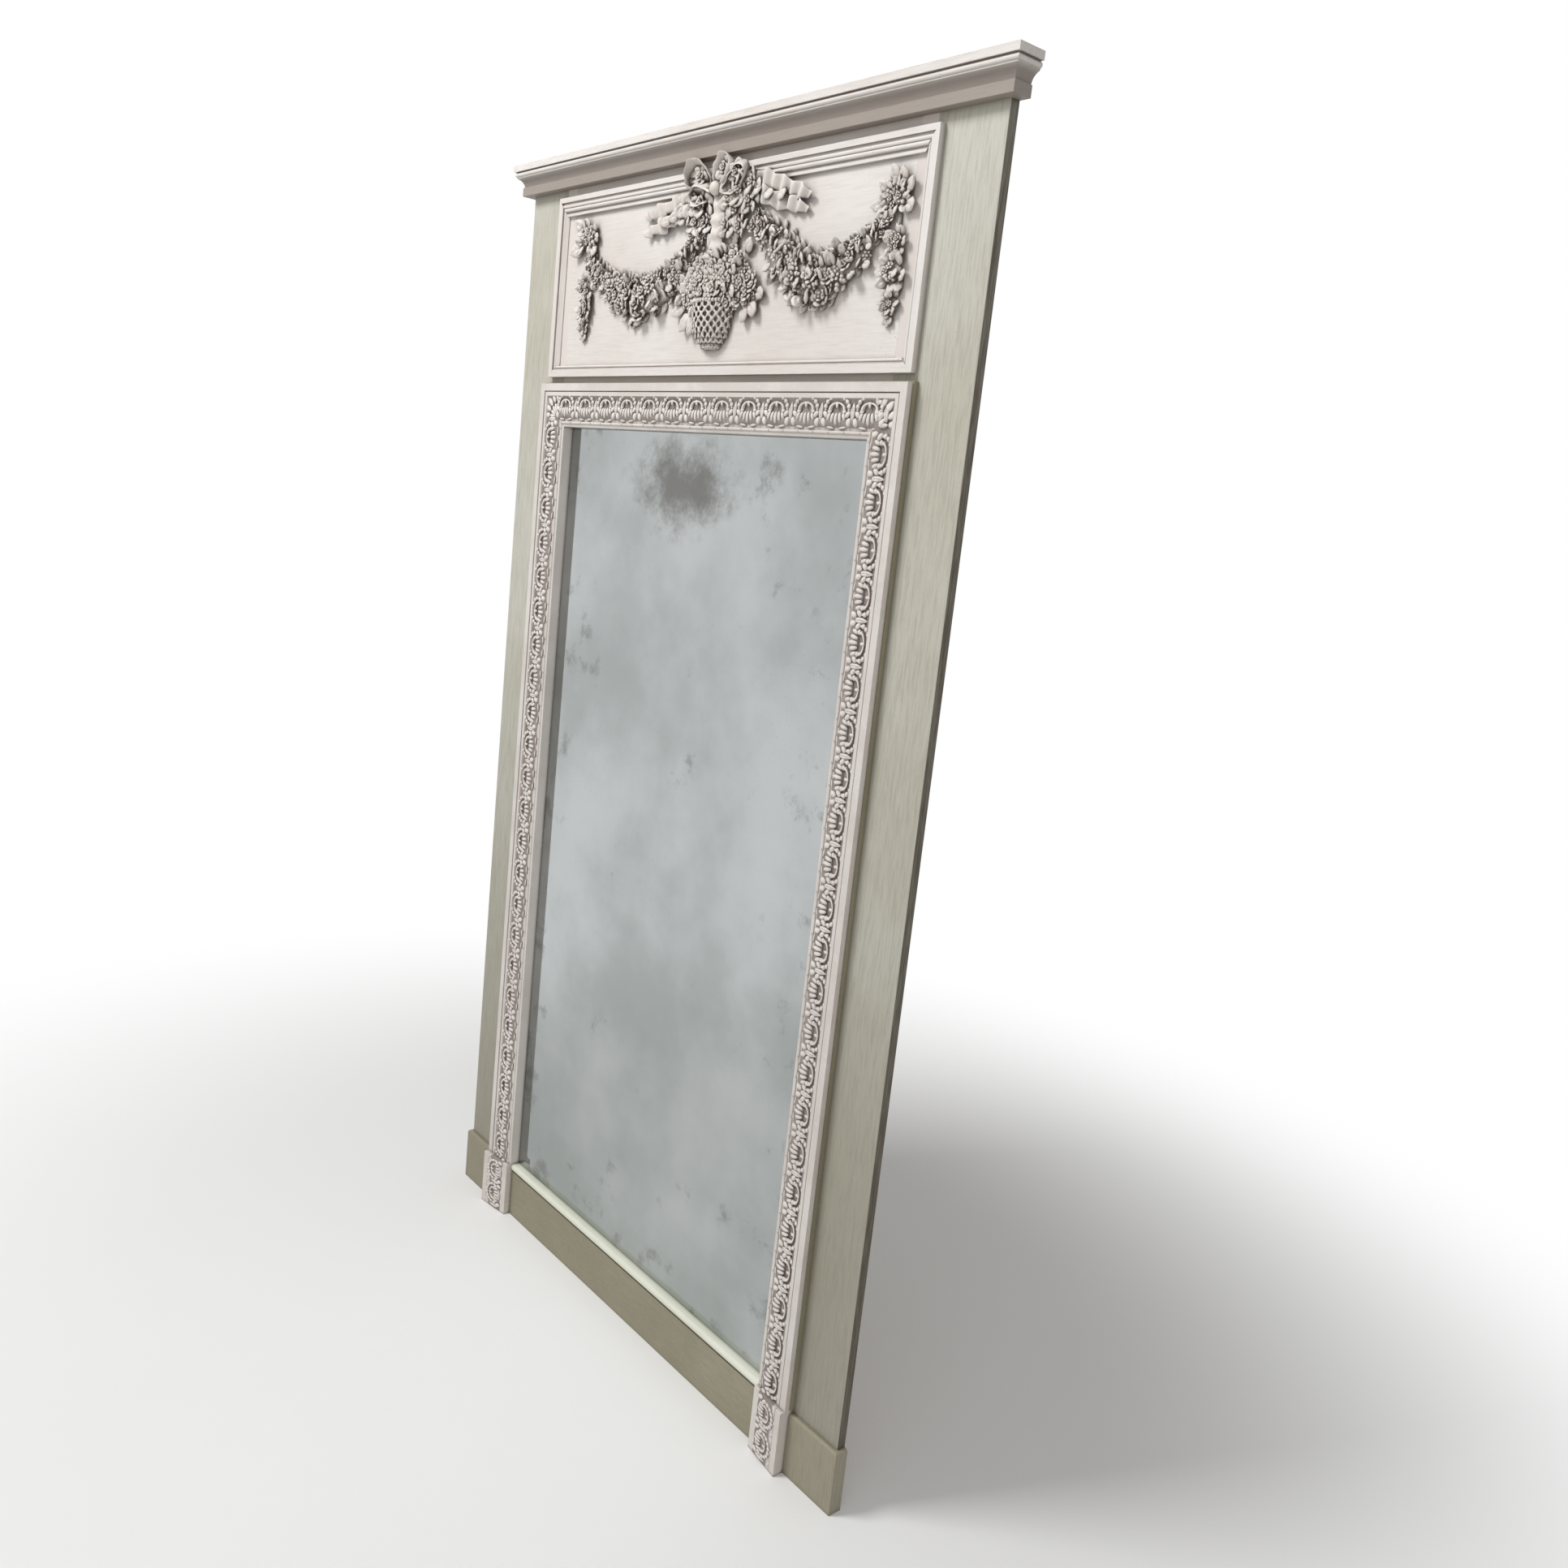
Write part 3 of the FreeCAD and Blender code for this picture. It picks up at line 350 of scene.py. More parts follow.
class Mixer:
    """Builds the nodes of one finish."""

    def __init__(self, name: str) -> None:
        """Starts a finish with that name."""
        self.material = bpy.data.materials.new(name)
        self.material.use_nodes = True
        self.tree = self.material.node_tree
        self.shader = self.tree.nodes["Principled BSDF"]
        self.space = self.tree.nodes.new("ShaderNodeTexCoord").outputs["Object"]

    def link(self, source: Socket, target: Socket) -> None:
        """Joins two sockets."""
        self.tree.links.new(source, target)

    def feed(self, target: Socket, value: object) -> None:
        """Links a socket, or sets a plain value."""
        if isinstance(value, Socket):
            self.link(value, target)
        elif isinstance(value, tuple) and len(value) == 3 and target.type == "RGBA":
            target.default_value = (*value, 1.0)
        else:
            target.default_value = value

    def stretched(self, scale: Point) -> Socket:
        """Returns the piece's own space, squeezed along each axis so that a pattern runs along."""
        node = self.tree.nodes.new("ShaderNodeMapping")
        node.inputs["Scale"].default_value = scale
        self.link(self.space, node.inputs["Vector"])
        return node.outputs["Vector"]

    def noise(self, scale: float, stretch: Point = (1, 1, 1), detail: float = 5.0,
              rough: float = 0.55) -> Socket:
        """Returns a cloudy pattern from 0 to 1.

        Args:
            scale: Patches per metre.
            stretch: How the pattern is squeezed along each axis.
            detail: Layers of finer patches.
            rough: How strong the finer layers are.
        """
        node = self.tree.nodes.new("ShaderNodeTexNoise")
        node.inputs["Scale"].default_value = scale
        node.inputs["Detail"].default_value = detail
        node.inputs["Roughness"].default_value = rough
        self.link(self.stretched(stretch), node.inputs["Vector"])
        return node.outputs["Fac"]

    def cells(self, scale: float) -> Socket:
        """Returns the distance to scattered points, for specks and pits."""
        node = self.tree.nodes.new("ShaderNodeTexVoronoi")
        node.inputs["Scale"].default_value = scale
        self.link(self.space, node.inputs["Vector"])
        return node.outputs["Distance"]

    def span(self, source: Socket, low: float, high: float, to_low: float = 0.0,
             to_high: float = 1.0) -> Socket:
        """Maps a value smoothly from one span to another and holds it at the ends."""
        node = self.tree.nodes.new("ShaderNodeMapRange")
        node.interpolation_type = "SMOOTHSTEP"
        self.link(source, node.inputs["Value"])
        node.inputs["From Min"].default_value = low
        node.inputs["From Max"].default_value = high
        node.inputs["To Min"].default_value = to_low
        node.inputs["To Max"].default_value = to_high
        return node.outputs["Result"]

    def sum(self, kind: str, first: object, second: object = 0.5) -> Socket:
        """Returns a sum, product or other arithmetic of two values."""
        node = self.tree.nodes.new("ShaderNodeMath")
        node.operation = kind
        self.feed(node.inputs[0], first)
        self.feed(node.inputs[1], second)
        return node.outputs[0]

    def times(self, first: object, second: object) -> Socket:
        """Returns the product of two values."""
        return self.sum("MULTIPLY", first, second)

    def blend(self, share: object, first: object, second: object) -> Socket:
        """Blends two colours.

        Args:
            share: How much of the second colour shows.
            first: The colour underneath.
            second: The colour on top.
        """
        node = self.tree.nodes.new("ShaderNodeMix")
        node.data_type = "RGBA"
        self.feed(node.inputs[0], share)
        self.feed(node.inputs[6], first)
        self.feed(node.inputs[7], second)
        return node.outputs[2]

    def axes(self) -> tuple[Socket, ...]:
        """Returns the piece's own X, Y and Z as three values in metres."""
        node = self.tree.nodes.new("ShaderNodeSeparateXYZ")
        self.link(self.space, node.inputs[0])
        return node.outputs[0], node.outputs[1], node.outputs[2]

    def hollow(self, reach: float) -> Socket:
        """Returns how shut in a spot is: 0 in the open and 1 deep in a corner."""
        node = self.tree.nodes.new("ShaderNodeAmbientOcclusion")
        node.samples = 6
        node.inputs["Distance"].default_value = reach
        return self.sum("SUBTRACT", 1.0, node.outputs["AO"])

    def coat(self, colour: Socket, rough: Socket, normal: Socket) -> Material:
        """Gives the shader its colour, roughness and relief.

        Args:
            colour: The base colour.
            rough: The roughness.
            normal: The bumped normal.

        Returns:
            The finished material.
        """
        self.feed(self.shader.inputs["Base Color"], colour)
        self.feed(self.shader.inputs["Roughness"], rough)
        self.link(normal, self.shader.inputs["Normal"])
        return self.material

    def bump(self, height: Socket, strength: float, distance: float,
             after: Socket | None = None) -> Socket:
        """Raises the surface by a pattern.

        Args:
            height: The pattern.
            strength: Its share, from 0 to 1.
            distance: Its height in metres.
            after: A bump underneath, if there is one.
        """
        node = self.tree.nodes.new("ShaderNodeBump")
        node.inputs["Strength"].default_value = strength
        node.inputs["Distance"].default_value = distance
        self.link(height, node.inputs["Height"])
        if after is not None:
            self.link(after, node.inputs["Normal"])
        return node.outputs["Normal"]


@dataclass(frozen=True)
class Paint:
    """Old brushed paint with dark specks and worn edges, and painted shade in its corners and
    towards its foot.
    """

    name: str
    body: Colour
    cloud: Colour
    grime_and_shade: Colour
    wood: Colour = (0.20, 0.13, 0.07)
    grain: Grain = Grain.UP
    streaks: float = 0.30
    reach: float = 0.012
    corner_shade: float = 0.8
    gloss: float = 0.52
    worn: float = 0.35
    low_shade: float = 0.0
    bare_side: float = 0.0
    field_paint: Colour | None = None
    shade: tuple[float, float] | None = None

    def make(self) -> Material:
        """Returns the paint as a material."""
        mix = Mixer(self.name)
        stroke = mix.noise(22.0, self.grain.value, 6.0, 0.6)
        fine = mix.noise(90.0, self.grain.value, 4.0, 0.7)
        cloud = mix.noise(3.2, (1, 1, 1), 4.0, 0.5)
        colour = mix.blend(mix.span(cloud, 0.35, 0.68), self.body, self.cloud)
        streak = mix.times(mix.span(stroke, 0.40, 0.72), self.streaks)
        colour = mix.blend(streak, colour, self.grime_and_shade)
        pale = mix.times(mix.span(fine, 0.52, 0.75), 0.22)
        colour = mix.blend(pale, colour, (0.86, 0.85, 0.78))
        # Painted shade: the paint darkens towards the foot, most at 5 cm up and not at all above
        # 1.3 m.
        if self.low_shade:
            _, _, high = mix.axes()
            low = mix.times(mix.span(high, 0.05, 1.30, 1.0, 0.0), self.low_shade)
            colour = mix.blend(low, colour, self.grime_and_shade)
        # Painted shade: corners and hollows, found by ambient occlusion, are darkened.
        shut = mix.times(mix.span(mix.hollow(self.reach), 0.12, 0.75), self.corner_shade)
        colour = mix.blend(shut, colour, self.grime_and_shade)
        speck = mix.times(mix.span(mix.cells(140.0), 0.05, 0.12, 1.0, 0.0),
                        mix.span(mix.noise(14.0), 0.50, 0.62))
        colour = mix.blend(mix.times(speck, 0.7), colour, self.grime_and_shade)
        colour = mix.blend(self.edges(mix), colour, self.wood)
        if self.field_paint:
            across, _, up = mix.axes()
            inside = mix.span(mix.sum("ABSOLUTE", across), FIELD_HALF, FIELD_HALF + MM, 1.0, 0.0)
            inside = mix.times(inside, mix.span(up, FIELD_FOOT, FIELD_FOOT + MM))
            colour = mix.blend(inside, colour, self.field_paint)
        # Painted shade: the cornice darkens in a band between the two given heights, over its
        # hollow.
        if self.shade:
            _, _, up = mix.axes()
            low, high = self.shade
            band = mix.times(mix.span(up, low, low + 0.004),
                           mix.span(up, high - 0.008, high, 1.0, 0.0))
            colour = mix.blend(mix.times(band, 0.80), colour, self.grime_and_shade)
        if self.bare_side:
            colour = mix.blend(self.sides(mix, stroke), colour, (0.062, 0.048, 0.028))
        bare = mix.blend(mix.span(fine, 0.42, 0.62), (0.38, 0.265, 0.155), (0.29, 0.195, 0.11))
        colour = mix.blend(mix.span(self.facing(mix, 1), 0.5, 0.8), colour, bare)
        rough = mix.span(fine, 0.3, 0.7, self.gloss - 0.08, self.gloss + 0.12)
        base = mix.bump(stroke, 0.35, 0.0006)
        return mix.coat(colour, rough, mix.bump(fine, 0.25, 0.0003, base))

    def sides(self, mix: Mixer, stroke: Socket) -> Socket:
        """Returns the outer side faces, which were left brown.

        Args:
            mix: The finish being built.
            stroke: The brush strokes, which break the brown up.
        """
        across, _, _ = mix.axes()
        turned = mix.span(mix.sum("ABSOLUTE", self.facing(mix, 0)), 0.55, 0.9)
        outer = mix.span(mix.sum("ABSOLUTE", across), self.bare_side - 0.001, self.bare_side)
        patchy = mix.span(stroke, 0.30, 0.75, 1.0, 0.62)
        return mix.times(mix.times(turned, outer), patchy)

    def facing(self, mix: Mixer, axis: int) -> Socket:
        """Returns how far a face looks along one axis.

        Args:
            mix: The finish being built.
            axis: 0 for across and 1 for towards the wall.
        """
        real = mix.tree.nodes.new("ShaderNodeNewGeometry")
        parts = mix.tree.nodes.new("ShaderNodeSeparateXYZ")
        mix.link(real.outputs["Normal"], parts.inputs[0])
        return parts.outputs[axis]

    def edges(self, mix: Mixer) -> Socket:
        """Returns where the paint has rubbed off the edges.

        Args:
            mix: The finish being built.
        """
        soft = mix.tree.nodes.new("ShaderNodeBevel")
        soft.samples = 4
        soft.inputs["Radius"].default_value = 0.0022
        real = mix.tree.nodes.new("ShaderNodeNewGeometry")
        same = mix.tree.nodes.new("ShaderNodeVectorMath")
        same.operation = "DOT_PRODUCT"
        mix.link(soft.outputs[0], same.inputs[0])
        mix.link(real.outputs["Normal"], same.inputs[1])
        edge = mix.span(same.outputs["Value"], 0.90, 0.995, 1.0, 0.0)
        patchy = mix.span(mix.noise(26.0, (1, 1, 1), 6.0, 0.7), 0.48, 0.62)
        return mix.times(mix.times(edge, patchy), self.worn)


@dataclass(frozen=True)
class CarvedPaint:
    """Thick pale paint over carving, with a brown wash left in the cuts; the same brown is laid on
    as painted shade in its hollows, near the ground it stands on and in the frame's sunk band.
    """

    name: str
    body: Colour
    cloud: Colour
    glaze_and_shade: Colour
    reach: float = 0.010
    depth: float = 0.9
    floor_out: float | None = None
    rise: float = 4.0
    ground: bool = False
    first: float = 0.10
    full: float = 0.58

    def make(self) -> Material:
        """Returns the glazed paint as a material."""
        mix = Mixer(self.name)
        cloud = mix.noise(9.0, (1, 1, 1), 5.0, 0.6)
        fine = mix.noise(160.0, (1, 1, 1), 4.0, 0.6)
        colour = mix.blend(mix.span(cloud, 0.36, 0.66), self.body, self.cloud)
        # Painted shade laid with the brown wash: hollows found by ambient occlusion, the frame's
        # sunk band and the strip just above the ground all take the brown.
        shut = mix.span(mix.hollow(self.reach), self.first, self.full)
        if self.ground:
            shut = mix.sum("MAXIMUM", shut, self.sunk(mix))
        if self.floor_out is not None:
            _, back, _ = mix.axes()
            near = (WALL - (self.floor_out + self.rise) * MM, WALL - self.floor_out * MM)
            deep = mix.span(back, near[0], near[1])
            shut = mix.sum("MAXIMUM", shut, mix.times(deep, 0.85))
        patchy = mix.span(cloud, 0.20, 0.75, 0.75, 1.0)
        shut = mix.times(mix.times(shut, patchy), self.depth)
        colour = mix.blend(shut, colour, self.glaze_and_shade)
        rub = mix.times(mix.span(fine, 0.55, 0.75), 0.25)
        colour = mix.blend(rub, colour, (0.90, 0.88, 0.85))
        rough = mix.span(fine, 0.3, 0.7, 0.5, 0.68)
        return mix.coat(colour, rough, mix.bump(fine, 0.35, 0.0005))

    def sunk(self, mix: Mixer) -> Socket:
        """Returns the sunk band of the frame's section, with pooled wash and painted shade under
        the carving, and a thin line of painted shade in the quirk.

        Args:
            mix: The finish being built.
        """
        across, _, up = mix.axes()
        side = mix.sum("SUBTRACT", FRAME_HALF, mix.sum("ABSOLUTE", across))
        head = mix.sum("SUBTRACT", FRAME_TOP, up)
        inward = mix.sum("MINIMUM", side, head)
        hollow = mix.times(mix.span(inward, 0.0190, 0.0225),
                         mix.span(inward, 0.0560, 0.0590, 1.0, 0.0))
        quirk = mix.times(mix.span(inward, 0.0118, 0.0126),
                        mix.span(inward, 0.0136, 0.0144, 1.0, 0.0))
        return mix.sum("MAXIMUM", mix.times(hollow, 0.92), mix.times(quirk, 0.6))


@dataclass(frozen=True)
class Silvering:
    """Old silvered glass: a little cloudy, with foxing at its edges."""

    name: str = "old_silvering"
    silver: Colour = (0.375, 0.400, 0.395)
    haze: Colour = (0.520, 0.540, 0.540)
    fox: Colour = (0.10, 0.09, 0.08)
    bloom_across: float = -0.045
    bloom_up: float = 1.385

    def make(self) -> Material:
        """Returns the silvering as a material."""
        mix = Mixer(self.name)
        cloud = mix.noise(2.6, (1, 1, 1), 6.0, 0.55)
        colour = mix.blend(mix.span(cloud, 0.35, 0.65), self.silver, self.haze)
        bloom = mix.noise(9.0, (1, 1, 1), 8.0, 0.7)
        across, _, up = mix.axes()
        side = mix.span(mix.sum("ABSOLUTE", across), 0.26, 0.375)
        foot = mix.span(up, 0.10, 0.30, 1.0, 0.0)
        rim = mix.sum("MAXIMUM", side, foot)
        spots = mix.span(mix.sum("ADD", bloom, mix.times(rim, 0.10)), 0.60, 0.72)
        specks = mix.span(mix.cells(120.0), 0.04, 0.10, 1.0, 0.0)
        specks = mix.times(specks, mix.span(mix.noise(5.0), 0.48, 0.62))
        fox = mix.sum("MAXIMUM", mix.times(spots, 0.42), mix.times(specks, 0.5))
        fox = mix.sum("MAXIMUM", fox, self.patch(mix, across, up))
        colour = mix.blend(fox, colour, self.fox)
        mix.feed(mix.shader.inputs["Base Color"], colour)
        mix.shader.inputs["Metallic"].default_value = 1.0
        mix.feed(mix.shader.inputs["Roughness"], mix.span(bloom, 0.42, 0.72, 0.03, 0.16))
        return mix.material

    def patch(self, mix: Mixer, across: Socket,
              up: Socket) -> Socket:
        """Returns the dark bloom near the top of the glass, where the silvering has failed.

        Args:
            mix: The finish being built.
            across: The place across the glass.
            up: The height on the glass.
        """
        side = mix.sum("SUBTRACT", across, self.bloom_across)
        side = mix.sum("POWER", mix.sum("ABSOLUTE", side), 2.0)
        side = mix.times(side, 0.55)
        high = mix.sum("POWER", mix.sum("ABSOLUTE", mix.sum("SUBTRACT", up, self.bloom_up)), 2.0)
        high = mix.times(high, 1.7)
        far = mix.sum("SQRT", mix.sum("ADD", side, high))
        rough = mix.times(mix.sum("SUBTRACT", mix.noise(16.0, (1, 1, 1), 8.0, 0.75), 0.5), 0.22)
        return mix.times(mix.span(mix.sum("ADD", far, rough), 0.02, 0.12, 1.0, 0.0), 0.75)


@dataclass(frozen=True)
class BarePine:
    """Unpainted pine, browned by age, with painted shade in its corners."""

    name: str
    grain: Grain
    light: Colour = (0.42, 0.29, 0.17)
    dark: Colour = (0.27, 0.175, 0.095)

    def make(self) -> Material:
        """Returns the wood as a material."""
        mix = Mixer(self.name)
        stretch = tuple(0.10 if v == 1.0 else 2.5 for v in self.grain.value)
        rings = mix.noise(11.0, stretch, 3.0, 0.5)
        bands = mix.sum("FRACT", mix.times(rings, 9.0))
        fibre = mix.noise(55.0, self.grain.value, 5.0, 0.7)
        colour = mix.blend(mix.span(bands, 0.25, 0.95), self.light, self.dark)
        colour = mix.blend(mix.times(mix.span(fibre, 0.42, 0.7), 0.5), colour, self.dark)
        stain = mix.span(mix.noise(3.0, (1, 1, 1), 6.0, 0.6), 0.50, 0.72)
        colour = mix.blend(mix.times(stain, 0.55), colour, (0.10, 0.07, 0.045))
        # Painted shade: corners and hollows of the pine, found by ambient occlusion, are darkened.
        shut = mix.times(mix.span(mix.hollow(0.02), 0.2, 0.8), 0.6)
        colour = mix.blend(shut, colour, (0.06, 0.04, 0.03))
        rough = mix.span(fibre, 0.3, 0.7, 0.7, 0.9)
        return mix.coat(colour, rough, mix.bump(fibre, 0.5, 0.0006))


@dataclass(frozen=True)
class OldSteel:
    """Forged steel gone brown, with worn bright spots."""

    name: str
    bright: Colour = (0.34, 0.32, 0.29)
    rust: Colour = (0.16, 0.085, 0.045)

    def make(self) -> Material:
        """Returns the steel as a material."""
        mix = Mixer(self.name)
        patch = mix.noise(120.0, (1, 1, 1), 6.0, 0.65)
        fine = mix.noise(900.0, (1, 1, 1), 3.0, 0.6)
        mix.feed(mix.shader.inputs["Metallic"], mix.span(patch, 0.42, 0.62, 1.0, 0.25))
        colour = mix.blend(mix.span(patch, 0.42, 0.62), self.bright, self.rust)
        rough = mix.span(fine, 0.3, 0.7, 0.38, 0.7)
        return mix.coat(colour, rough, mix.bump(fine, 0.3, 0.0002))


class Finishes:
    """All finishes of the mirror, made once."""

    def __init__(self) -> None:
        """Makes every finish."""
        sage, sage_cloud, olive = (0.460, 0.442, 0.368), (0.530, 0.517, 0.455), (0.17, 0.15, 0.10)
        blush, blush_cloud, taupe = (0.655, 0.60, 0.56), (0.72, 0.685, 0.65), (0.13, 0.09, 0.07)
        self.board = Paint("sage_board_paint", sage, sage_cloud, olive, low_shade=0.60,
                           bare_side=0.530, field_paint=blush).make()
        self.block = Paint("olive_block_paint", (0.30, 0.27, 0.19), (0.36, 0.33, 0.245), olive,
                           low_shade=0.3, bare_side=0.555).make()
        # The dark olive rail paint; on the frame slips it stands for painted shade beside the
        # frame.
        self.rail_paint_and_slip_shade = Paint("olive_rail_paint", (0.25, 0.225, 0.15), (0.31, 0.285, 0.20), olive,
                           grain=Grain.ACROSS).make()
        self.crown = Paint("pale_crown_paint", blush, blush_cloud, (0.20, 0.16, 0.13),
                           grain=Grain.ACROSS, streaks=0.16, corner_shade=0.85, reach=0.02,
                           shade=(1.836, 1.884)).make()
        self.pale = Paint("pale_panel_paint", blush, blush_cloud, taupe, grain=Grain.ACROSS,
                          streaks=0.10, corner_shade=0.7).make()
        self.cross = Paint("pale_upright_paint", blush, blush_cloud, taupe, grain=Grain.UP,
                           streaks=0.10, corner_shade=0.7).make()
        self.frame = CarvedPaint("frame_glaze_and_shade", (0.60, 0.55, 0.51), (0.68, 0.64, 0.60), taupe,
                                 0.006, 0.90, ground=True).make()
        self.cut = CarvedPaint("cut_leaf_glaze_and_shade", (0.68, 0.625, 0.59), (0.76, 0.715, 0.68),
                               taupe, 0.006, 0.97, 44.6, 3.2, first=0.08, full=0.46).make()
        self.relief = CarvedPaint("relief_glaze_and_shade", (0.60, 0.545, 0.50), (0.70, 0.655, 0.61),
                                  (0.105, 0.075, 0.057), 0.011, 0.97, 33.5, 8.5,
                                  first=0.12, full=0.42).make()
        self.bead = Paint("cream_bead_paint", (0.70, 0.715, 0.60), (0.75, 0.76, 0.66), olive,
                          grain=Grain.ACROSS, streaks=0.08).make()
        self.glass = Silvering().make()
        self.pine = BarePine("old_pine_upright", Grain.UP).make()
        self.rail = BarePine("old_pine_cross", Grain.ACROSS).make()
        self.steel = OldSteel("old_steel").make()


# ---------------------------------------------------------------- carved frame


@dataclass
class FrameCarving:
    """The run of arches, leaves and darts cut along the mirror's frame."""

    outer_x: float = 445.0
    outer_z: float = 1536.0
    pitch: float = 60.0
    head_pitch: float = 62.0
    head_middle: float = 7.5
    first_up: float = 1446.8
    ground: float = 45.0
    finish: Material | None = None

    def motif(self) -> Piece:
        """Returns one carved unit. X runs along the frame, Y towards its outer edge, Z outwards."""
        parts = [
            Bench.half_ring((0, -34.0, 1.2), 22.8, 16.8, 2.8, 24, 6),
            Bench.half_ring((0, -34.5, 1.4), 14.2, 8.4, 3.0, 20, 6),
            Bench.ball((0, -47.5, 0.6), (17.0, 8.0, 2.8), around=12, rings=6),
            Bench.ball((0, -28.6, 3.0), (2.6, 4.6, 2.2), around=8, rings=5),
            Bench.ball((0, -13.4, 0.6), (6.0, 2.2, 2.0), around=8, rings=5),
        ]
        for number in range(8):
            turn = math.radians(11.0 + 22.6 * number)
            place = (22.8 * math.cos(turn), -34.0 + 16.8 * math.sin(turn), 2.2)
            parts.append(Bench.ball(place, (3.9, 3.9, 3.0), (0, 0, turn), 8, 5))
        for number in range(-2, 3):
            off = abs(number)
            parts.append(Bench.ball((number * 7.3, -46.6 + 1.3 * off, 3.0 - 0.3 * off),
                                    (3.5, 8.4 - 1.1 * off, 3.0), (0, 0, number * 0.2), 8, 6))
        for side in (-1, 1):
            parts += [
                Bench.ball((side * 14.5, -37.6, 1.8), (4.2, 3.3, 2.8)),
                Bench.ball((side * 21.5, -41.0, 1.9), (6.4, 4.2, 3.2), (0, 0, side * 0.7)),
                Bench.ball((side * 24.4, -50.8, 2.2), (4.6, 6.2, 3.0), (0, 0, -side * 0.3)),
                Bench.ball((side * 26.0, -16.2, 0.8), (5.4, 3.0, 2.4), (0, 0, -side * 0.5), 8, 5),
                Bench.ball((side * 12.0, -57.6, 0.6), (8.0, 1.9, 2.0), (0, 0, side * 0.12), 8, 5),
                Bench.ball((side * 15.3, -63.5, -0.6), (6.2, 2.2, 1.6), around=8, rings=5),
            ]
        parts.append(self.dart())
        return Bench.join(parts, "frame_motif")

    def dart(self) -> Piece:
        """Returns the pointed leaf that stands between two arches."""
        leaf = Bench.ball((0, 0, 0), (4.6, 13.5, 3.4), around=10, rings=8)
        Bench.shape(leaf, lambda p: p.y > 6.0, size=(0.45, 1.0, 0.8), centre=(0, 8.0, 0))
        Bench.shape(leaf, lambda p: abs(p.x) < 0.2 and p.z > 1.0, move=(0, 0, -1.1))
        leaf.location = (30.5, -38.0, 1.3)
        return Bench.settle(leaf)

    def spots(self, run: Run) -> list[float]:
        """Returns the middles of the units along one member, in mm.

        Args:
            run: The member.
        """
        if run is Run.HEAD:
            return [self.head_middle + (k - 6) * self.head_pitch for k in range(13)]
        return [self.first_up - self.pitch * k for k in range(23)]

    def seat(self, run: Run, along: float) -> Matrix:
        """Returns where a unit sits.

        Args:
            run: The member.
            along: The middle of the unit along it.
        """
        out = (0, -1, 0)
        if run is Run.HEAD:
            corner, x_axis, y_axis = at(along, self.ground, self.outer_z), (1, 0, 0), (0, 0, 1)
        elif run is Run.RIGHT:
            corner, x_axis, y_axis = at(self.outer_x, self.ground, along), (0, 0, -1), (1, 0, 0)
        else:
            corner, x_axis, y_axis = at(-self.outer_x, self.ground, along), (0, 0, 1), (-1, 0, 0)
        turn = Matrix((x_axis, y_axis, out)).transposed().to_4x4()
        return Matrix.Translation(corner) @ turn @ Matrix.Scale(MM, 4)

    def corner(self, side: int) -> list[Piece]:
        """Returns the fan of lobes at one mitre.

        Args:
            side: -1 for the left mitre and 1 for the right.
        """
        lobes = []
        root = (side * (self.outer_x - 54.0), self.outer_z - 54.0)
        for number in range(5):
            turn = math.radians(45 + 21 * (number - 2))
            for reach, size in ((15.0, 9.0), (34.0, 10.0)):
                place = at(root[0] + side * reach * math.cos(turn), self.ground + 1.6,
                           root[1] + reach * math.sin(turn))
                half = (size * MM, 2.6 * MM, reach * 0.105 * MM + 1.6 * MM)
                lean = -turn if side > 0 else turn - math.pi
                lobes.append(Bench.ball(place, half, (0, lean, 0), 10, 6))
        return lobes

    def foot(self, model: Piece, side: int) -> Piece:
        """Returns the carving of one foot block, two units on its splayed face.

        Args:
            model: The carved unit.
            side: -1 for the left block and 1 for the right.
        """
        splay = 9.5 / 70.0
        units = []
        for along in (78.0, 30.0):
            across = Matrix(((0, side, 0, side * self.outer_x),
                             (0, -splay, -1, WALL / MM - 58.4),
                             (-1, 0, 0, along), (0, 0, 0, 1)))
            squeeze = Matrix.Diagonal((0.78, 1.0, 0.75, 1.0))
            units.append(Bench.copy(model, Matrix.Scale(MM, 4) @ across @ squeeze))
        return Bench.join(units, f"foot_carving_{'left' if side < 0 else 'right'}")

    def build(self) -> list[Piece]:
        """Returns the carving of both uprights, of the head and of the foot blocks."""
        model = self.motif()
        rows = []
        for run in Run:
            units = [Bench.copy(model, self.seat(run, along)) for along in self.spots(run)]
            if run is Run.HEAD:
                units += self.corner(-1) + self.corner(1)
            rows.append(Bench.join(units, f"frame_carving_{run.value}"))
        rows += [self.foot(model, -1), self.foot(model, 1)]
        for row in rows:
            dress(row, self.finish)
        Bench.drop(model)
        return rows

# ---------------------------------------------------------------- flowers and leaves


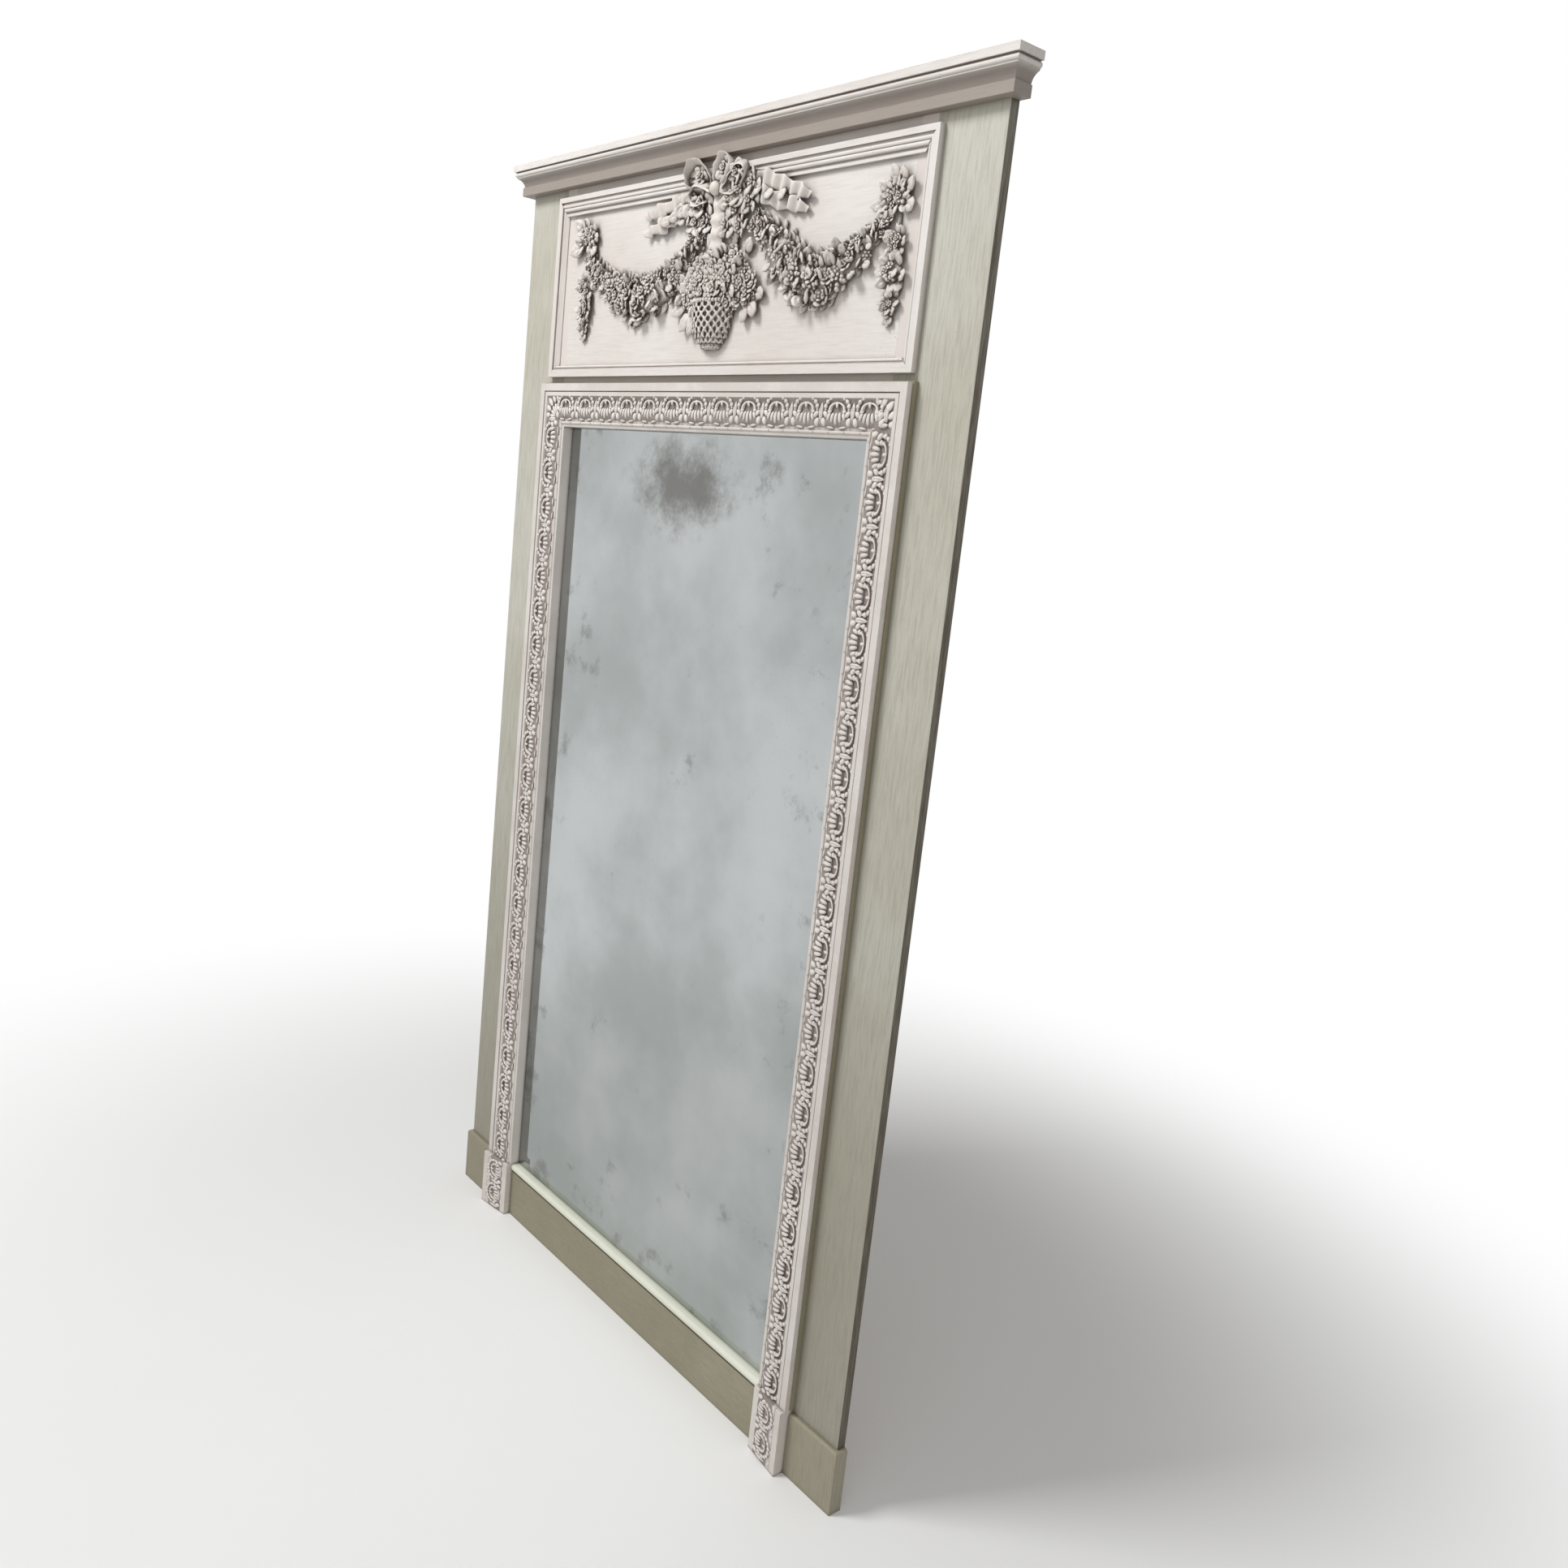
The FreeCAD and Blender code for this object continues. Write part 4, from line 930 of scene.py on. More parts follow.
@dataclass
class Carver:
    """Models of leaves and flowers, and the places where copies of them go."""

    models: dict[str, Piece] = field(default_factory=dict)
    chance: random.Random = field(default_factory=lambda: random.Random(7))

    def __post_init__(self) -> None:
        """Models each leaf and flower once, one unit long."""
        self.models["leaf"] = self.leaf()
        self.models["rose"] = self.rose()
        self.models["daisy"] = self.daisy()
        self.models["berry"] = Bench.ball((0, 0, 0), (0.5, 0.5, 0.5), around=8, rings=6)
        self.models["berry"].name = "berry_model"

    def leaf(self) -> Piece:
        """Returns a leaf with a sunk vein and a curled tip. It grows along Y."""
        leaf = Bench.ball((0, 0.5, 0), (0.29, 0.5, 0.13), around=8, rings=7)
        Bench.shape(leaf, lambda p: p.y > 0.80, size=(0.85, 1, 1), centre=(0, 0.8, 0))
        Bench.shape(leaf, lambda p: p.y > 0.86, move=(0, 0.03, 0.12))
        Bench.shape(leaf, lambda p: abs(p.x) < 0.02 and p.z > 0.02, move=(0, 0, -0.085))
        Bench.shape(leaf, lambda p: abs(p.x) > 0.16, move=(0, 0, -0.05))
        return Bench.join([leaf], "leaf_model", 60)

    def petals(self, count: int, reach: float, wide: float, rise: float,
               lift: float) -> list[Piece]:
        """Returns a ring of petals.

        Args:
            count: How many there are.
            reach: How far out their middles lie.
            wide: Their half width.
            rise: How high their middles lie.
            lift: How far they stand up, in radians.
        """
        found = []
        for number in range(count):
            angle = math.tau * number / count
            place = (reach * math.cos(angle), reach * math.sin(angle), rise)
            size = (0.5 * wide + 0.09, wide, 0.07)
            found.append(Bench.ball(place, size, (0, -lift, angle), 8, 5))
        return found

    def rose(self) -> Piece:
        """Returns an open rose with two rows of petals."""
        parts = self.petals(5, 0.33, 0.22, 0.02, 0.35)
        parts += self.petals(4, 0.16, 0.15, 0.13, 0.85)
        parts.append(Bench.ball((0, 0, 0.12), (0.10, 0.10, 0.14), around=8, rings=5))
        return Bench.join(parts, "rose_model", 60)

    def daisy(self) -> Piece:
        """Returns a small flower with six petals round an eye."""
        parts = self.petals(6, 0.30, 0.14, 0.02, 0.2)
        parts.append(Bench.ball((0, 0, 0.08), (0.15, 0.15, 0.13), around=8, rings=5))
        return Bench.join(parts, "daisy_model", 60)

    def put(self, kind: str, place: Point, size: float, heading: float = 90.0, lift: float = 0.0,
            roll: float = 0.0, fat: float = 1.0) -> Piece:
        """Copies a model onto the panel.

        Args:
            kind: The model's name.
            place: Across, out and up, in mm.
            size: Its length in mm.
            heading: Which way it points on the panel, in degrees from right to up.
            lift: How far its tip stands off the panel, in degrees.
            roll: Its turn about its own length, in degrees.
            fat: How wide it is for its length.
        """
        turn = math.radians(heading)
        grow = (math.cos(turn), 0.0, math.sin(turn))
        side = (math.sin(turn), 0.0, -math.cos(turn))
        basis = Matrix((side, grow, (0, -1, 0))).transposed().to_4x4()
        tilt = (Matrix.Rotation(math.radians(lift), 4, "X")
                @ Matrix.Rotation(math.radians(roll), 4, "Y"))
        scale = Matrix.Diagonal((size * fat * MM, size * MM, size * MM, 1.0))
        return Bench.copy(self.models[kind], Matrix.Translation(at(*place)) @ basis @ tilt @ scale)

    def mixed(self, place: Point, size: float, heading: float, roll: float,
              blooms: float = 0.45) -> list[Piece]:
        """Copies a flower, a leaf or a few berries to one spot of a bunch.

        Args:
            place: Across, out and up, in mm.
            size: The size of what grows there, in mm.
            heading: Which way leaves point there, in degrees.
            roll: How far the spot leans to one side, in degrees.
            blooms: The share of open flowers.
        """
        pick = self.near(0, 1)
        turn = self.near(0, 360)
        if pick < blooms * 0.55:
            return [self.put("rose", place, size * 1.25, turn, self.near(-20, 20), roll)]
        if pick < blooms:
            return [self.put("daisy", place, size, turn, self.near(-25, 25), roll)]
        if pick < blooms + 0.14:
            return [self.put("berry", (place[0] + self.near(-4, 4), place[1] + self.near(0, 2.5),
                                       place[2] + self.near(-4, 4)), self.near(5, 7.5))
                    for _ in range(3)]
        return [self.put("leaf", place, size * self.near(0.9, 1.25), heading + self.near(-85, 85),
                         self.near(8, 40), roll + self.near(-30, 30), 1.35)]

    def near(self, low: float, high: float) -> float:
        """Returns a steady chance number between two values."""
        return self.chance.uniform(low, high)

    def finish(self) -> None:
        """Takes the models away."""
        Bench.drop(*self.models.values())


def smooth_path(points: list[Point], count: int) -> list[Point]:
    """Runs a smooth curve through points.

    Args:
        points: Rows of numbers, each a station.
        count: How many stations to return.

    Returns:
        Stations spread evenly along the curve.
    """
    found = []
    spans = len(points) - 1
    for number in range(count):
        where = spans * number / (count - 1)
        k = min(int(where), spans - 1)
        t = where - k
        p0, p1 = points[max(k - 1, 0)], points[k]
        p2, p3 = points[k + 1], points[min(k + 2, spans)]
        found.append(tuple(
            0.5 * (2 * b + (c - a) * t + (2 * a - 5 * b + 4 * c - d) * t * t
                   + (3 * b - a - 3 * c + d) * t ** 3)
            for a, b, c, d in zip(p0, p1, p2, p3)
        ))
    return found


def tube(stations: list[Point], ground: float, height: float = 0.75,
         sides: int = 10) -> Piece:
    """Makes a low rounded core that carving sits on.

    Args:
        stations: Across, up and half width along the core, in mm.
        ground: How far out the surface under it lies, in mm.
        height: Its height as a share of its half width.
        sides: Faces round it.

    Returns:
        The core.
    """
    rings = []
    for number, (across, up, half) in enumerate(stations):
        before = stations[max(number - 1, 0)]
        after = stations[min(number + 1, len(stations) - 1)]
        run = Vector((after[0] - before[0], after[1] - before[1]))
        run.normalize()
        ring = []
        for k in range(sides):
            angle = math.tau * k / sides
            off = half * math.cos(angle)
            out = ground + half * height * max(math.sin(angle), -0.12)
            ring.append(at(across - run.y * off, out, up + run.x * off))
        rings.append(ring)
    return Bench.sweep(rings)


# ---------------------------------------------------------------- panel ornaments


@dataclass
class Garland:
    """A hanging swag of flowers and leaves."""

    name: str
    carver: Carver
    finish: Material
    line: list[Point]
    ground: float = PANEL_OUT
    height: float = 17.0
    steps: int = 30

    def build(self) -> Piece:
        """Returns the swag as one piece."""
        track = smooth_path(self.line, self.steps)
        parts = [tube([(x, z, 0.72 * half) for x, z, half in track[::2]], self.ground, 0.62)]
        carver = self.carver
        for number, (x, z, half) in enumerate(track):
            after = track[min(number + 1, len(track) - 1)]
            before = track[max(number - 1, 0)]
            heading = math.degrees(math.atan2(after[1] - before[1], after[0] - before[0]))
            normal = math.radians(heading + 90)
            for row in (-0.74, -0.26, 0.22, 0.68):
                share = row + carver.near(-0.12, 0.12)
                rise = self.height * math.sqrt(max(0.0, 1 - share * share)) * half / 32
                place = (x + math.cos(normal) * half * share, self.ground + 2.0 + rise * 0.85,
                         z + math.sin(normal) * half * share)
                parts += carver.mixed(place, 0.44 * half + 6.5, heading, share * 40)
        for side in (-1, 1):
            for x, z, half in track[1:-1]:
                edge = math.radians(90 if side > 0 else -90)
                place = (x, self.ground + 1.5, z + math.sin(edge) * half * 0.74)
                parts.append(carver.put("leaf", place, carver.near(0.42, 0.62) * half + 4,
                                        side * 90 + carver.near(-55, 55), carver.near(5, 30),
                                        carver.near(-25, 25), 1.1))
        return finished(parts, self.name, self.finish)


@dataclass
class CornerSpray:
    """A spray of leaves that fans out from where a swag is pinned up."""

    name: str
    carver: Carver
    finish: Material
    hub: tuple[float, float]
    tips: list[tuple[float, float]]
    ground: float = PANEL_OUT

    def build(self) -> Piece:
        """Returns the spray as one piece."""
        carver = self.carver
        x0, z0 = self.hub
        parts = [tube([(x0 - 9, z0 + 2, 7), (x0, z0, 12), (x0 + 9, z0 - 2, 7)], self.ground, 0.7)]
        for number in range(5):
            turn = math.radians(72 * number + 20)
            spot = (x0 + 8 * math.cos(turn), self.ground + 7, z0 + 8 * math.sin(turn))
            parts += carver.mixed(spot, 13, 72 * number + 20, 10, 0.7)
        for x, z in self.tips:
            reach = math.hypot(x - x0, z - z0)
            angle = math.degrees(math.atan2(z - z0, x - x0))
            turn = math.radians(angle)
            fork = 0.42 * reach
            spot = (x0 + fork * math.cos(turn), self.ground + 4, z0 + fork * math.sin(turn))
            stalk = (x0 + 4 * math.cos(turn), self.ground + 3, z0 + 4 * math.sin(turn))
            parts.append(carver.put("leaf", stalk, fork * 1.2, angle, 6, 0, 0.7))
            parts.append(carver.put("leaf", spot, reach - fork, angle, 16,
                                    carver.near(-15, 15), 1.5))
            for side in (-1, 1):
                parts.append(carver.put("leaf", spot, 0.62 * (reach - fork), angle + side * 62, 26,
                                        side * 22, 1.7))
            parts.append(carver.put("berry", (spot[0], self.ground + 8, spot[2]), 6.5))
        return finished(parts, self.name, self.finish)


@dataclass
class Drop:
    """A string of leaf and berry clusters that hangs below a corner spray."""

    name: str
    carver: Carver
    finish: Material
    middle: float
    clusters: list[tuple[float, float]]
    top: float
    tip: float
    ground: float = PANEL_OUT

    def build(self) -> Piece:
        """Returns the drop as one piece."""
        carver = self.carver
        stem = [(self.middle, self.top, 2.6), (self.middle + 1, 0.5 * (self.top + self.tip), 3.4),
                (self.middle, self.tip + 6, 2.0)]
        parts = [tube(smooth_path(stem, 8), self.ground + 2, 1.0, 6)]
        for up, wide in self.clusters:
            half = wide / 2
            parts.append(tube([(self.middle - half * 0.45, up, half * 0.25),
                               (self.middle, up, half * 0.5),
                               (self.middle + half * 0.45, up, half * 0.25)], self.ground, 0.6))
            for k in range(8):
                angle = 45 * k + carver.near(-14, 14)
                turn = math.radians(angle)
                base = (self.middle + 0.40 * half * math.cos(turn), self.ground + 4,
                        up + 0.40 * half * math.sin(turn))
                parts.append(carver.put("leaf", base, half * 0.66, angle + carver.near(-25, 25),
                                        carver.near(10, 30), carver.near(-30, 30), 1.6))
            for k in range(5):
                turn = math.radians(72 * k + 30)
                spot = (self.middle + 0.30 * half * math.cos(turn), self.ground + 9,
                        up + 0.30 * half * math.sin(turn))
                parts += carver.mixed(spot, wide * 0.24, 72 * k, 10, 0.6)
        for number, up in enumerate((self.tip + 24, self.tip + 15)):
            for side in (-1, 1):
                parts.append(carver.put("leaf", (self.middle, self.ground + 3, up), 13,
                                        -90 + side * (48 - 14 * number), 12, 0, 1.3))
        parts.append(carver.put("leaf", (self.middle, self.ground + 3, self.tip + 14), 14, -90, 8))
        parts.append(carver.put("berry", (self.middle, self.ground + 5, self.tip + 14), 7.0))
        return finished(parts, self.name, self.finish)


@dataclass
class Ribbon:
    """A folded ribbon, carved as a thin band."""

    name: str
    finish: Material
    stations: list[tuple[float, ...]]
    thick: float = 2.6
    count: int = 26
    ripple: float = 0.0
    wave: float = 16.0

    def build(self) -> Piece:
        """Returns the ribbon. A station is across, out, up and the half width as three numbers."""
        rings = []
        track = smooth_path(self.stations, self.count)
        gone = 0.0
        for number, row in enumerate(track):
            if number:
                gone += math.hypot(row[0] - track[number - 1][0], row[2] - track[number - 1][2])
            fold = math.sin(math.tau * gone / self.wave)
            middle = Vector((row[0], row[1] + self.ripple * fold, row[2]))
            half = Vector(row[3:]) * (1.0 + 0.07 * self.ripple * math.sin(gone / 6.0))
            after = Vector(track[min(number + 1, len(track) - 1)][:3])
            before = Vector(track[max(number - 1, 0)][:3])
            face = (after - before).cross(half)
            face = face.normalized() * self.thick / 2
            corners = [middle + half + face, middle + face * 1.3, middle - half + face,
                       middle - half - face, middle - face * 0.7, middle + half - face]
            rings.append([at(*corner) for corner in corners])
        return finished([Bench.sweep(rings, 1)], self.name, self.finish, 70)


@dataclass
class Bow:
    """The bow at the top, its knot, and the ribbon ends that fly out from it."""

    finish: Material
    carver: Carver
    folds: tuple[tuple[float, float, float, float], ...] = (
        (-48, 1796, 44, 20), (-66, 1782, 42, 18), (-26, 1790, 45, 20), (42, 1790, 46, 21),
        (66, 1800, 46, 20), (56, 1774, 44, 20), (88, 1808, 44, 18), (84, 1786, 43, 18),
        (36, 1756, 44, 19), (64, 1752, 42, 17), (-18, 1766, 42, 18), (-42, 1766, 41, 18),
        (58, 1824, 50, 16), (28, 1832, 50, 15), (-34, 1828, 46, 14))
    right_ends: tuple[tuple[Station, ...], ...] = (
        ((70, 43, 1806, 2, 9), (100, 44, 1814, 3, 9), (130, 44, 1806, 4, 11),
         (160, 43, 1796, 4, 10), (188, 43, 1786, 5, 9), (212, 42, 1778, 6, 4)),
        ((66, 42, 1794, 0, 9), (96, 43, 1796, 1, 11), (126, 43, 1784, 2, 11),
         (156, 43, 1776, 3, 11), (184, 42, 1770, 3, 9), (207, 41, 1760, 5, 4)))
    left_ends: tuple[tuple[Station, ...], ...] = (
        ((-50, 43, 1800, -2, 8), (-80, 44, 1800, -3, 9), (-108, 44, 1794, -3, 10),
         (-136, 43, 1790, -4, 10), (-160, 43, 1786, -4, 8), (-179, 42, 1784, -5, 4)),
        ((-46, 42, 1788, 0, 8), (-76, 43, 1784, -1, 10), (-104, 43, 1774, -2, 11),
         (-130, 43, 1768, -3, 11), (-154, 42, 1764, -3, 8), (-175, 41, 1758, -4, 4)))

    def loop(self, name: str, points: list[Point], width: Point) -> Piece:
        """Returns one loop of the bow.

        Args:
            name: Its name.
            points: Across, out and up along the loop, in mm.
            width: Half its width, as a direction.
        """
        return Ribbon(name, self.finish, [(*p, *width) for p in points], 2.8, 40, 1.3, 19.0).build()

    def build(self) -> list[Piece]:
        """Returns the bow and the two flying ends."""
        parts = [
            self.loop("loop", [(4, 46, 1806), (-10, 49, 1828), (-32, 51, 1845), (-56, 50, 1847),
                               (-68, 48, 1832), (-60, 47, 1812), (-30, 46, 1806), (2, 46, 1804)],
                      (1, 8, 5)),
            self.loop("loop", [(12, 47, 1808), (12, 51, 1830), (26, 52, 1846), (42, 51, 1842),
                               (44, 50, 1824), (30, 48, 1810), (16, 47, 1804)], (-4, 8, 6)),
            self.loop("loop", [(26, 47, 1806), (44, 51, 1824), (62, 51, 1836), (75, 49, 1828),
                               (70, 48, 1808), (50, 48, 1798), (26, 47, 1802)], (3, 8, -5)),
            self.loop("loop", [(4, 48, 1804), (-16, 50, 1812), (-38, 50, 1816), (-50, 49, 1804),
                               (-38, 48, 1790), (-12, 47, 1792)], (0, 8, -5)),
            self.loop("band", [(16, 48, 1806), (17, 47, 1784), (15, 46, 1752), (12, 44, 1722),
                               (8, 42, 1698)], (12, -2, -1)),
        ]
        parts.append(Bench.ball(at(12, 50, 1806), (0.012, 0.011, 0.011), around=14, rings=8))
        carver = self.carver
        for x, z, out, half in self.folds:
            for number in range(5):
                turn = 72 * number + carver.near(-25, 25)
                spot = (x + 0.34 * half * math.cos(math.radians(turn)), out,
                        z + 0.34 * half * math.sin(math.radians(turn)))
                parts.append(carver.put("leaf", spot, half * carver.near(0.8, 1.1), turn,
                                        carver.near(5, 30), carver.near(-40, 40), 2.0))
            parts.append(carver.put("rose", (x, out + 3, z), half * 1.2, carver.near(0, 90),
                                    carver.near(-15, 15), carver.near(-15, 15)))
        bow = finished(parts, "bow", self.finish, 70)
        ends = []
        for name, strips in (("right", self.right_ends), ("left", self.left_ends)):
            bands = [Ribbon("end", self.finish, [(x, out, z, lean, 1, half)
                                                 for x, out, z, lean, half in strip],
                            2.8, 52, 3.2, 21.0).build() for strip in strips]
            side = 1 if name == "right" else -1
            for x, z in ((92, 1800), (118, 1794), (146, 1788)):
                shift = x if side > 0 else 0.72 * x
                drop = z if side > 0 else z - 12
                bands.append(carver.put("leaf", (side * shift, 44, drop), 22,
                                        90 - side * (100 + carver.near(-25, 25)), 16,
                                        carver.near(-25, 25), 1.5))
            ends.append(finished(bands, f"ribbon_end_{name}", self.finish, 70))
        return [bow, *ends]


@dataclass
class Basket:
    """The woven basket in the middle and the flowers that fill it."""

    finish: Material
    carver: Carver
    middle: float = 14.0
    ground: float = PANEL_OUT
    squash: float = 0.62
    bloom_count: int = 105
    profile: tuple[tuple[float, float], ...] = ((1585, 8), (1590, 20), (1599, 31), (1612, 39),
                                                (1628, 43), (1650, 44))

    def radius(self, up: float) -> float:
        """Returns the basket's radius at a height, both in mm."""
        for (low, first), (high, second) in zip(self.profile, self.profile[1:]):
            if low <= up <= high:
                return first + (second - first) * (up - low) / (high - low)
        return self.profile[-1][1]

    def weave(self) -> Piece:
        """Returns the woven body: two sets of strands that cross in a lattice."""
        rings = []
        for up, radius in self.profile:
            rings.append([at(self.middle + (radius - 3) * math.cos(a),
                             self.ground - 0.4 + (radius - 3) * self.squash * max(0.0, math.sin(a)),
                             up) for a in (math.tau * k / 24 for k in range(24))])
        parts = [Bench.sweep(rings)]
        for way in (-1, 1):
            for strand in range(-5, 14):
                for step in range(9):
                    up = 1590 + step * 7.0
                    angle = math.pi * (strand + 0.5 + way * step * 0.5) / 9
                    if not 0.04 < angle < math.pi - 0.04:
                        continue
                    over = 0.9 if (step + strand) % 2 else -0.5
                    radius = self.radius(up) + over
                    x = self.middle + radius * math.cos(angle)
                    out = self.ground + radius * self.squash * math.sin(angle)
                    heading = 90 + way * 42
                    parts.append(Bench.copy(self.carver.models["berry"],
                                            self.seat(x, out, up, angle, heading)))
        for up, thick in ((1651, 3.4), (1587, 2.8)):
            radius = self.radius(up) + 1
            for k in range(22):
                angle = math.pi * (k + 0.5) / 22
                x = self.middle + radius * math.cos(angle)
                out = self.ground + radius * self.squash * math.sin(angle)
                parts.append(self.carver.put("berry", (x, out, up), 2 * thick))
        return finished(parts, "basket_weave", self.finish)

    def seat(self, x: float, out: float, up: float, angle: float, heading: float) -> Matrix:
        """Returns where one strand lump lies on the basket.

        Args:
            x: Its place across, in mm.
            out: How far out it lies, in mm.
            up: Its height, in mm.
            angle: The side of the basket that it is on, in radians.
            heading: Which way the strand runs, in degrees.
        """
        face = Matrix.Rotation(angle - math.pi / 2, 4, "Z").inverted()
        turn = Matrix.Rotation(math.radians(heading), 4, "Y")
        size = Matrix.Diagonal((13.4 * MM, 4.6 * MM, 5.0 * MM, 1.0))
        return Matrix.Translation(at(x, out, up)) @ face @ turn @ size

    def blooms(self) -> Piece:
        """Returns the flowers and leaves that spill over the basket's rim."""
        carver = self.carver
        parts = [tube([(-46, 1650, 14), (-22, 1668, 24), (4, 1682, 30), (34, 1688, 30),
                       (66, 1682, 26), (94, 1668, 20), (112, 1650, 12)], self.ground, 0.62)]
        for k in range(self.bloom_count):
            turn = k * GOLDEN_TURN
            share = math.sqrt((k + 0.5) / self.bloom_count)
            x = 24 + 88 * share * math.cos(turn)
            z = 1680 + 44 * share * math.sin(turn) - 0.0016 * (x - 24) ** 2
            rise = 4 + 21 * math.sqrt(max(0.0, 1 - share * share))
            heading = math.degrees(turn)
            parts += carver.mixed((x, self.ground + rise, z), 22 - 4 * share, heading,
                                  22 * share * math.cos(turn), 0.68)
        for x, z, size, angle in ((-46, 1640, 32, 250), (-58, 1652, 30, 215), (-30, 1640, 36, 262),
                                  (-60, 1676, 26, 160), (98, 1650, 30, -50), (108, 1662, 26, -15),
                                  (88, 1646, 28, -85), (-16, 1652, 26, 255), (2, 1722, 28, 110),
                                  (44, 1722, 30, 70), (76, 1716, 28, 40)):
            parts.append(carver.put("leaf", (x, self.ground + 7, z), size, angle, 12, 0, 1.3))
        parts.append(carver.put("rose", (-33, self.ground + 16, 1690), 28, 0, 0, 10))
        parts.append(carver.put("rose", (30, self.ground + 27, 1668), 30, 40, 0, 0))
        return finished(parts, "basket_blooms", self.finish)


@dataclass
class PanelCarving:
    """Everything carved on the upper panel."""

    finish: Material
    left_swag: tuple[Point, ...] = (
        (-334, 1738, 11), (-322, 1722, 14), (-280, 1694, 21), (-235, 1677, 29), (-190, 1665, 33),
        (-140, 1670, 31), (-95, 1690, 26), (-65, 1715, 20), (-35, 1745, 15), (-15, 1765, 11))
    right_swag: tuple[Point, ...] = (
        (95, 1757, 14), (130, 1735, 22), (165, 1705, 30), (200, 1680, 34), (235, 1668, 32),
        (270, 1675, 28), (305, 1692, 22), (335, 1715, 17), (365, 1740, 12))

    def build(self) -> None:
        """Builds every ornament and hides the solids that it stands for."""
        carver = Carver()
        made = [
            (Garland("swag_flowers_left", carver, self.finish, list(self.left_swag)).build(),
             "swag_left"),
            (Garland("swag_flowers_right", carver, self.finish, list(self.right_swag)).build(),
             "swag_right"),
            (CornerSpray("spray_leaves_left", carver, self.finish, (-344, 1770),
                         [(-381, 1797), (-388, 1743), (-320, 1789), (-310, 1766), (-318, 1738),
                          (-352, 1800)]).build(), "corner_spray_left"),
            (CornerSpray("spray_leaves_right", carver, self.finish, (374, 1758),
                         [(388, 1796), (408, 1780), (412, 1745), (345, 1781), (334, 1751),
                          (345, 1735), (368, 1800)]).build(), "corner_spray_right"),
            (Drop("drop_leaves_left", carver, self.finish, -342, [(1690, 50), (1658, 50),
                  (1632, 32)], 1745, 1603).build(), "drop_left"),
            (Drop("drop_leaves_right", carver, self.finish, 382, [(1706, 44), (1670, 56),
                  (1636, 38)], 1740, 1603).build(), "drop_right"),
        ]
        basket = Basket(self.finish, carver)
        made += [(basket.weave(), "flower_basket"), (basket.blooms(), "basket_flowers")]
        made += list(zip(Bow(self.finish, carver).build(),
                         ("bow_knot", "ribbon_right", "ribbon_left")))
        for piece, node in made:
            Bench.press(piece, PANEL_OUT, DEEPEST)
            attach(piece, "body")
            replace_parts(piece, node)
            LOG.info("%s: %d faces", piece.name, len(piece.data.polygons))
        carver.finish()


# ---------------------------------------------------------------- plain members


@dataclass(frozen=True)
class Fixings:
    """The slotted screws and the small nails at the back."""

    steel: Material
    screw_across: float = 470.0
    batten_ups: tuple[float, ...] = (36.0, 820.0, 1565.0, 1858.0)
    strap_ups: tuple[float, ...] = (1673.96, 1647.92)
    nail_out: float = 12.0
    nail_across: tuple[float, ...] = (-360.0, -200.0, -30.0, 30.0, 200.0, 360.0)
    nail_ups: tuple[float, ...] = (150.0, 400.0, 700.0, 1000.0, 1250.0, 1440.0)

    def screw(self) -> Piece:
        """Returns a screw with a domed head, cut by a slot. It points along -Y from the back."""
        parts = []
        for side in (-1, 1):
            half = Bench.ball((0, 0, 0), (4.1, 4.1, 1.5), around=16, rings=8)
            Bench.only(half)
            bpy.ops.object.mode_set(mode="EDIT")
            bpy.ops.mesh.select_all(action="SELECT")
            bpy.ops.mesh.bisect(plane_co=(0, 0.5 * side, 0), plane_no=(0, side, 0),
                                use_fill=True, clear_inner=True)
            bpy.ops.object.mode_set(mode="OBJECT")
            parts.append(half)
        parts.append(Bench.ball((0, 0, -0.7), (4.1, 4.1, 0.8), around=16, rings=6))
        parts.append(Bench.ball((0, 0, -6.0), (2.0, 2.0, 6.0), around=8, rings=6))
        return Bench.join(parts, "screw_model", 40)

    def row(self, model: Piece, name: str, spots: list[Point],
            turns: list[float]) -> Piece:
        """Copies a model to a list of spots as one piece.

        Args:
            model: The screw or the nail.
            name: The name of the piece.
            spots: Across, out and up for each copy, in mm.
            turns: How far each is turned, in degrees.
        """
        copies = []
        for spot, turn in zip(spots, turns):
            seat = Matrix.Translation(at(*spot)) @ Matrix.Rotation(-math.pi / 2, 4, "X")
            spin = Matrix.Rotation(math.radians(turn), 4, "Z") @ Matrix.Scale(MM, 4)
            copies.append(Bench.copy(model, seat @ spin))
        piece = finished(copies, name, self.steel, 40)
        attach(piece, "body")
        LOG.info("%s: %d faces", piece.name, len(piece.data.polygons))
        return piece

    def build(self) -> None:
        """Builds both sets of screws and the nails."""
        screw = self.screw()
        chance = random.Random(3)
        sides = (-self.screw_across, self.screw_across)
        spots = [(x, 1.6, z) for z in self.batten_ups for x in sides]
        turns = [chance.uniform(0, 180) for _ in range(12)]
        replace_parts(self.row(screw, "slotted_batten_screws", spots, turns[:8]), "batten_screws")
        spots = [(x, 18.4, z) for z in self.strap_ups for x in sides]
        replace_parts(self.row(screw, "slotted_hanger_screws", spots, turns[8:]), "hanger_screws")
        nail = Bench.ball((0, 0, 0), (1.9, 1.9, 0.8), around=10, rings=6)
        Bench.shape(nail, lambda p: p.z > 0.5, size=(1, 1, 0.5), centre=(0, 0, 0.4))
        nails = [(x, self.nail_out, z) for z in self.nail_ups for x in self.nail_across]
        self.row(nail, "backboard_nails", nails, [0.0] * len(nails))
        Bench.drop(screw, nail)


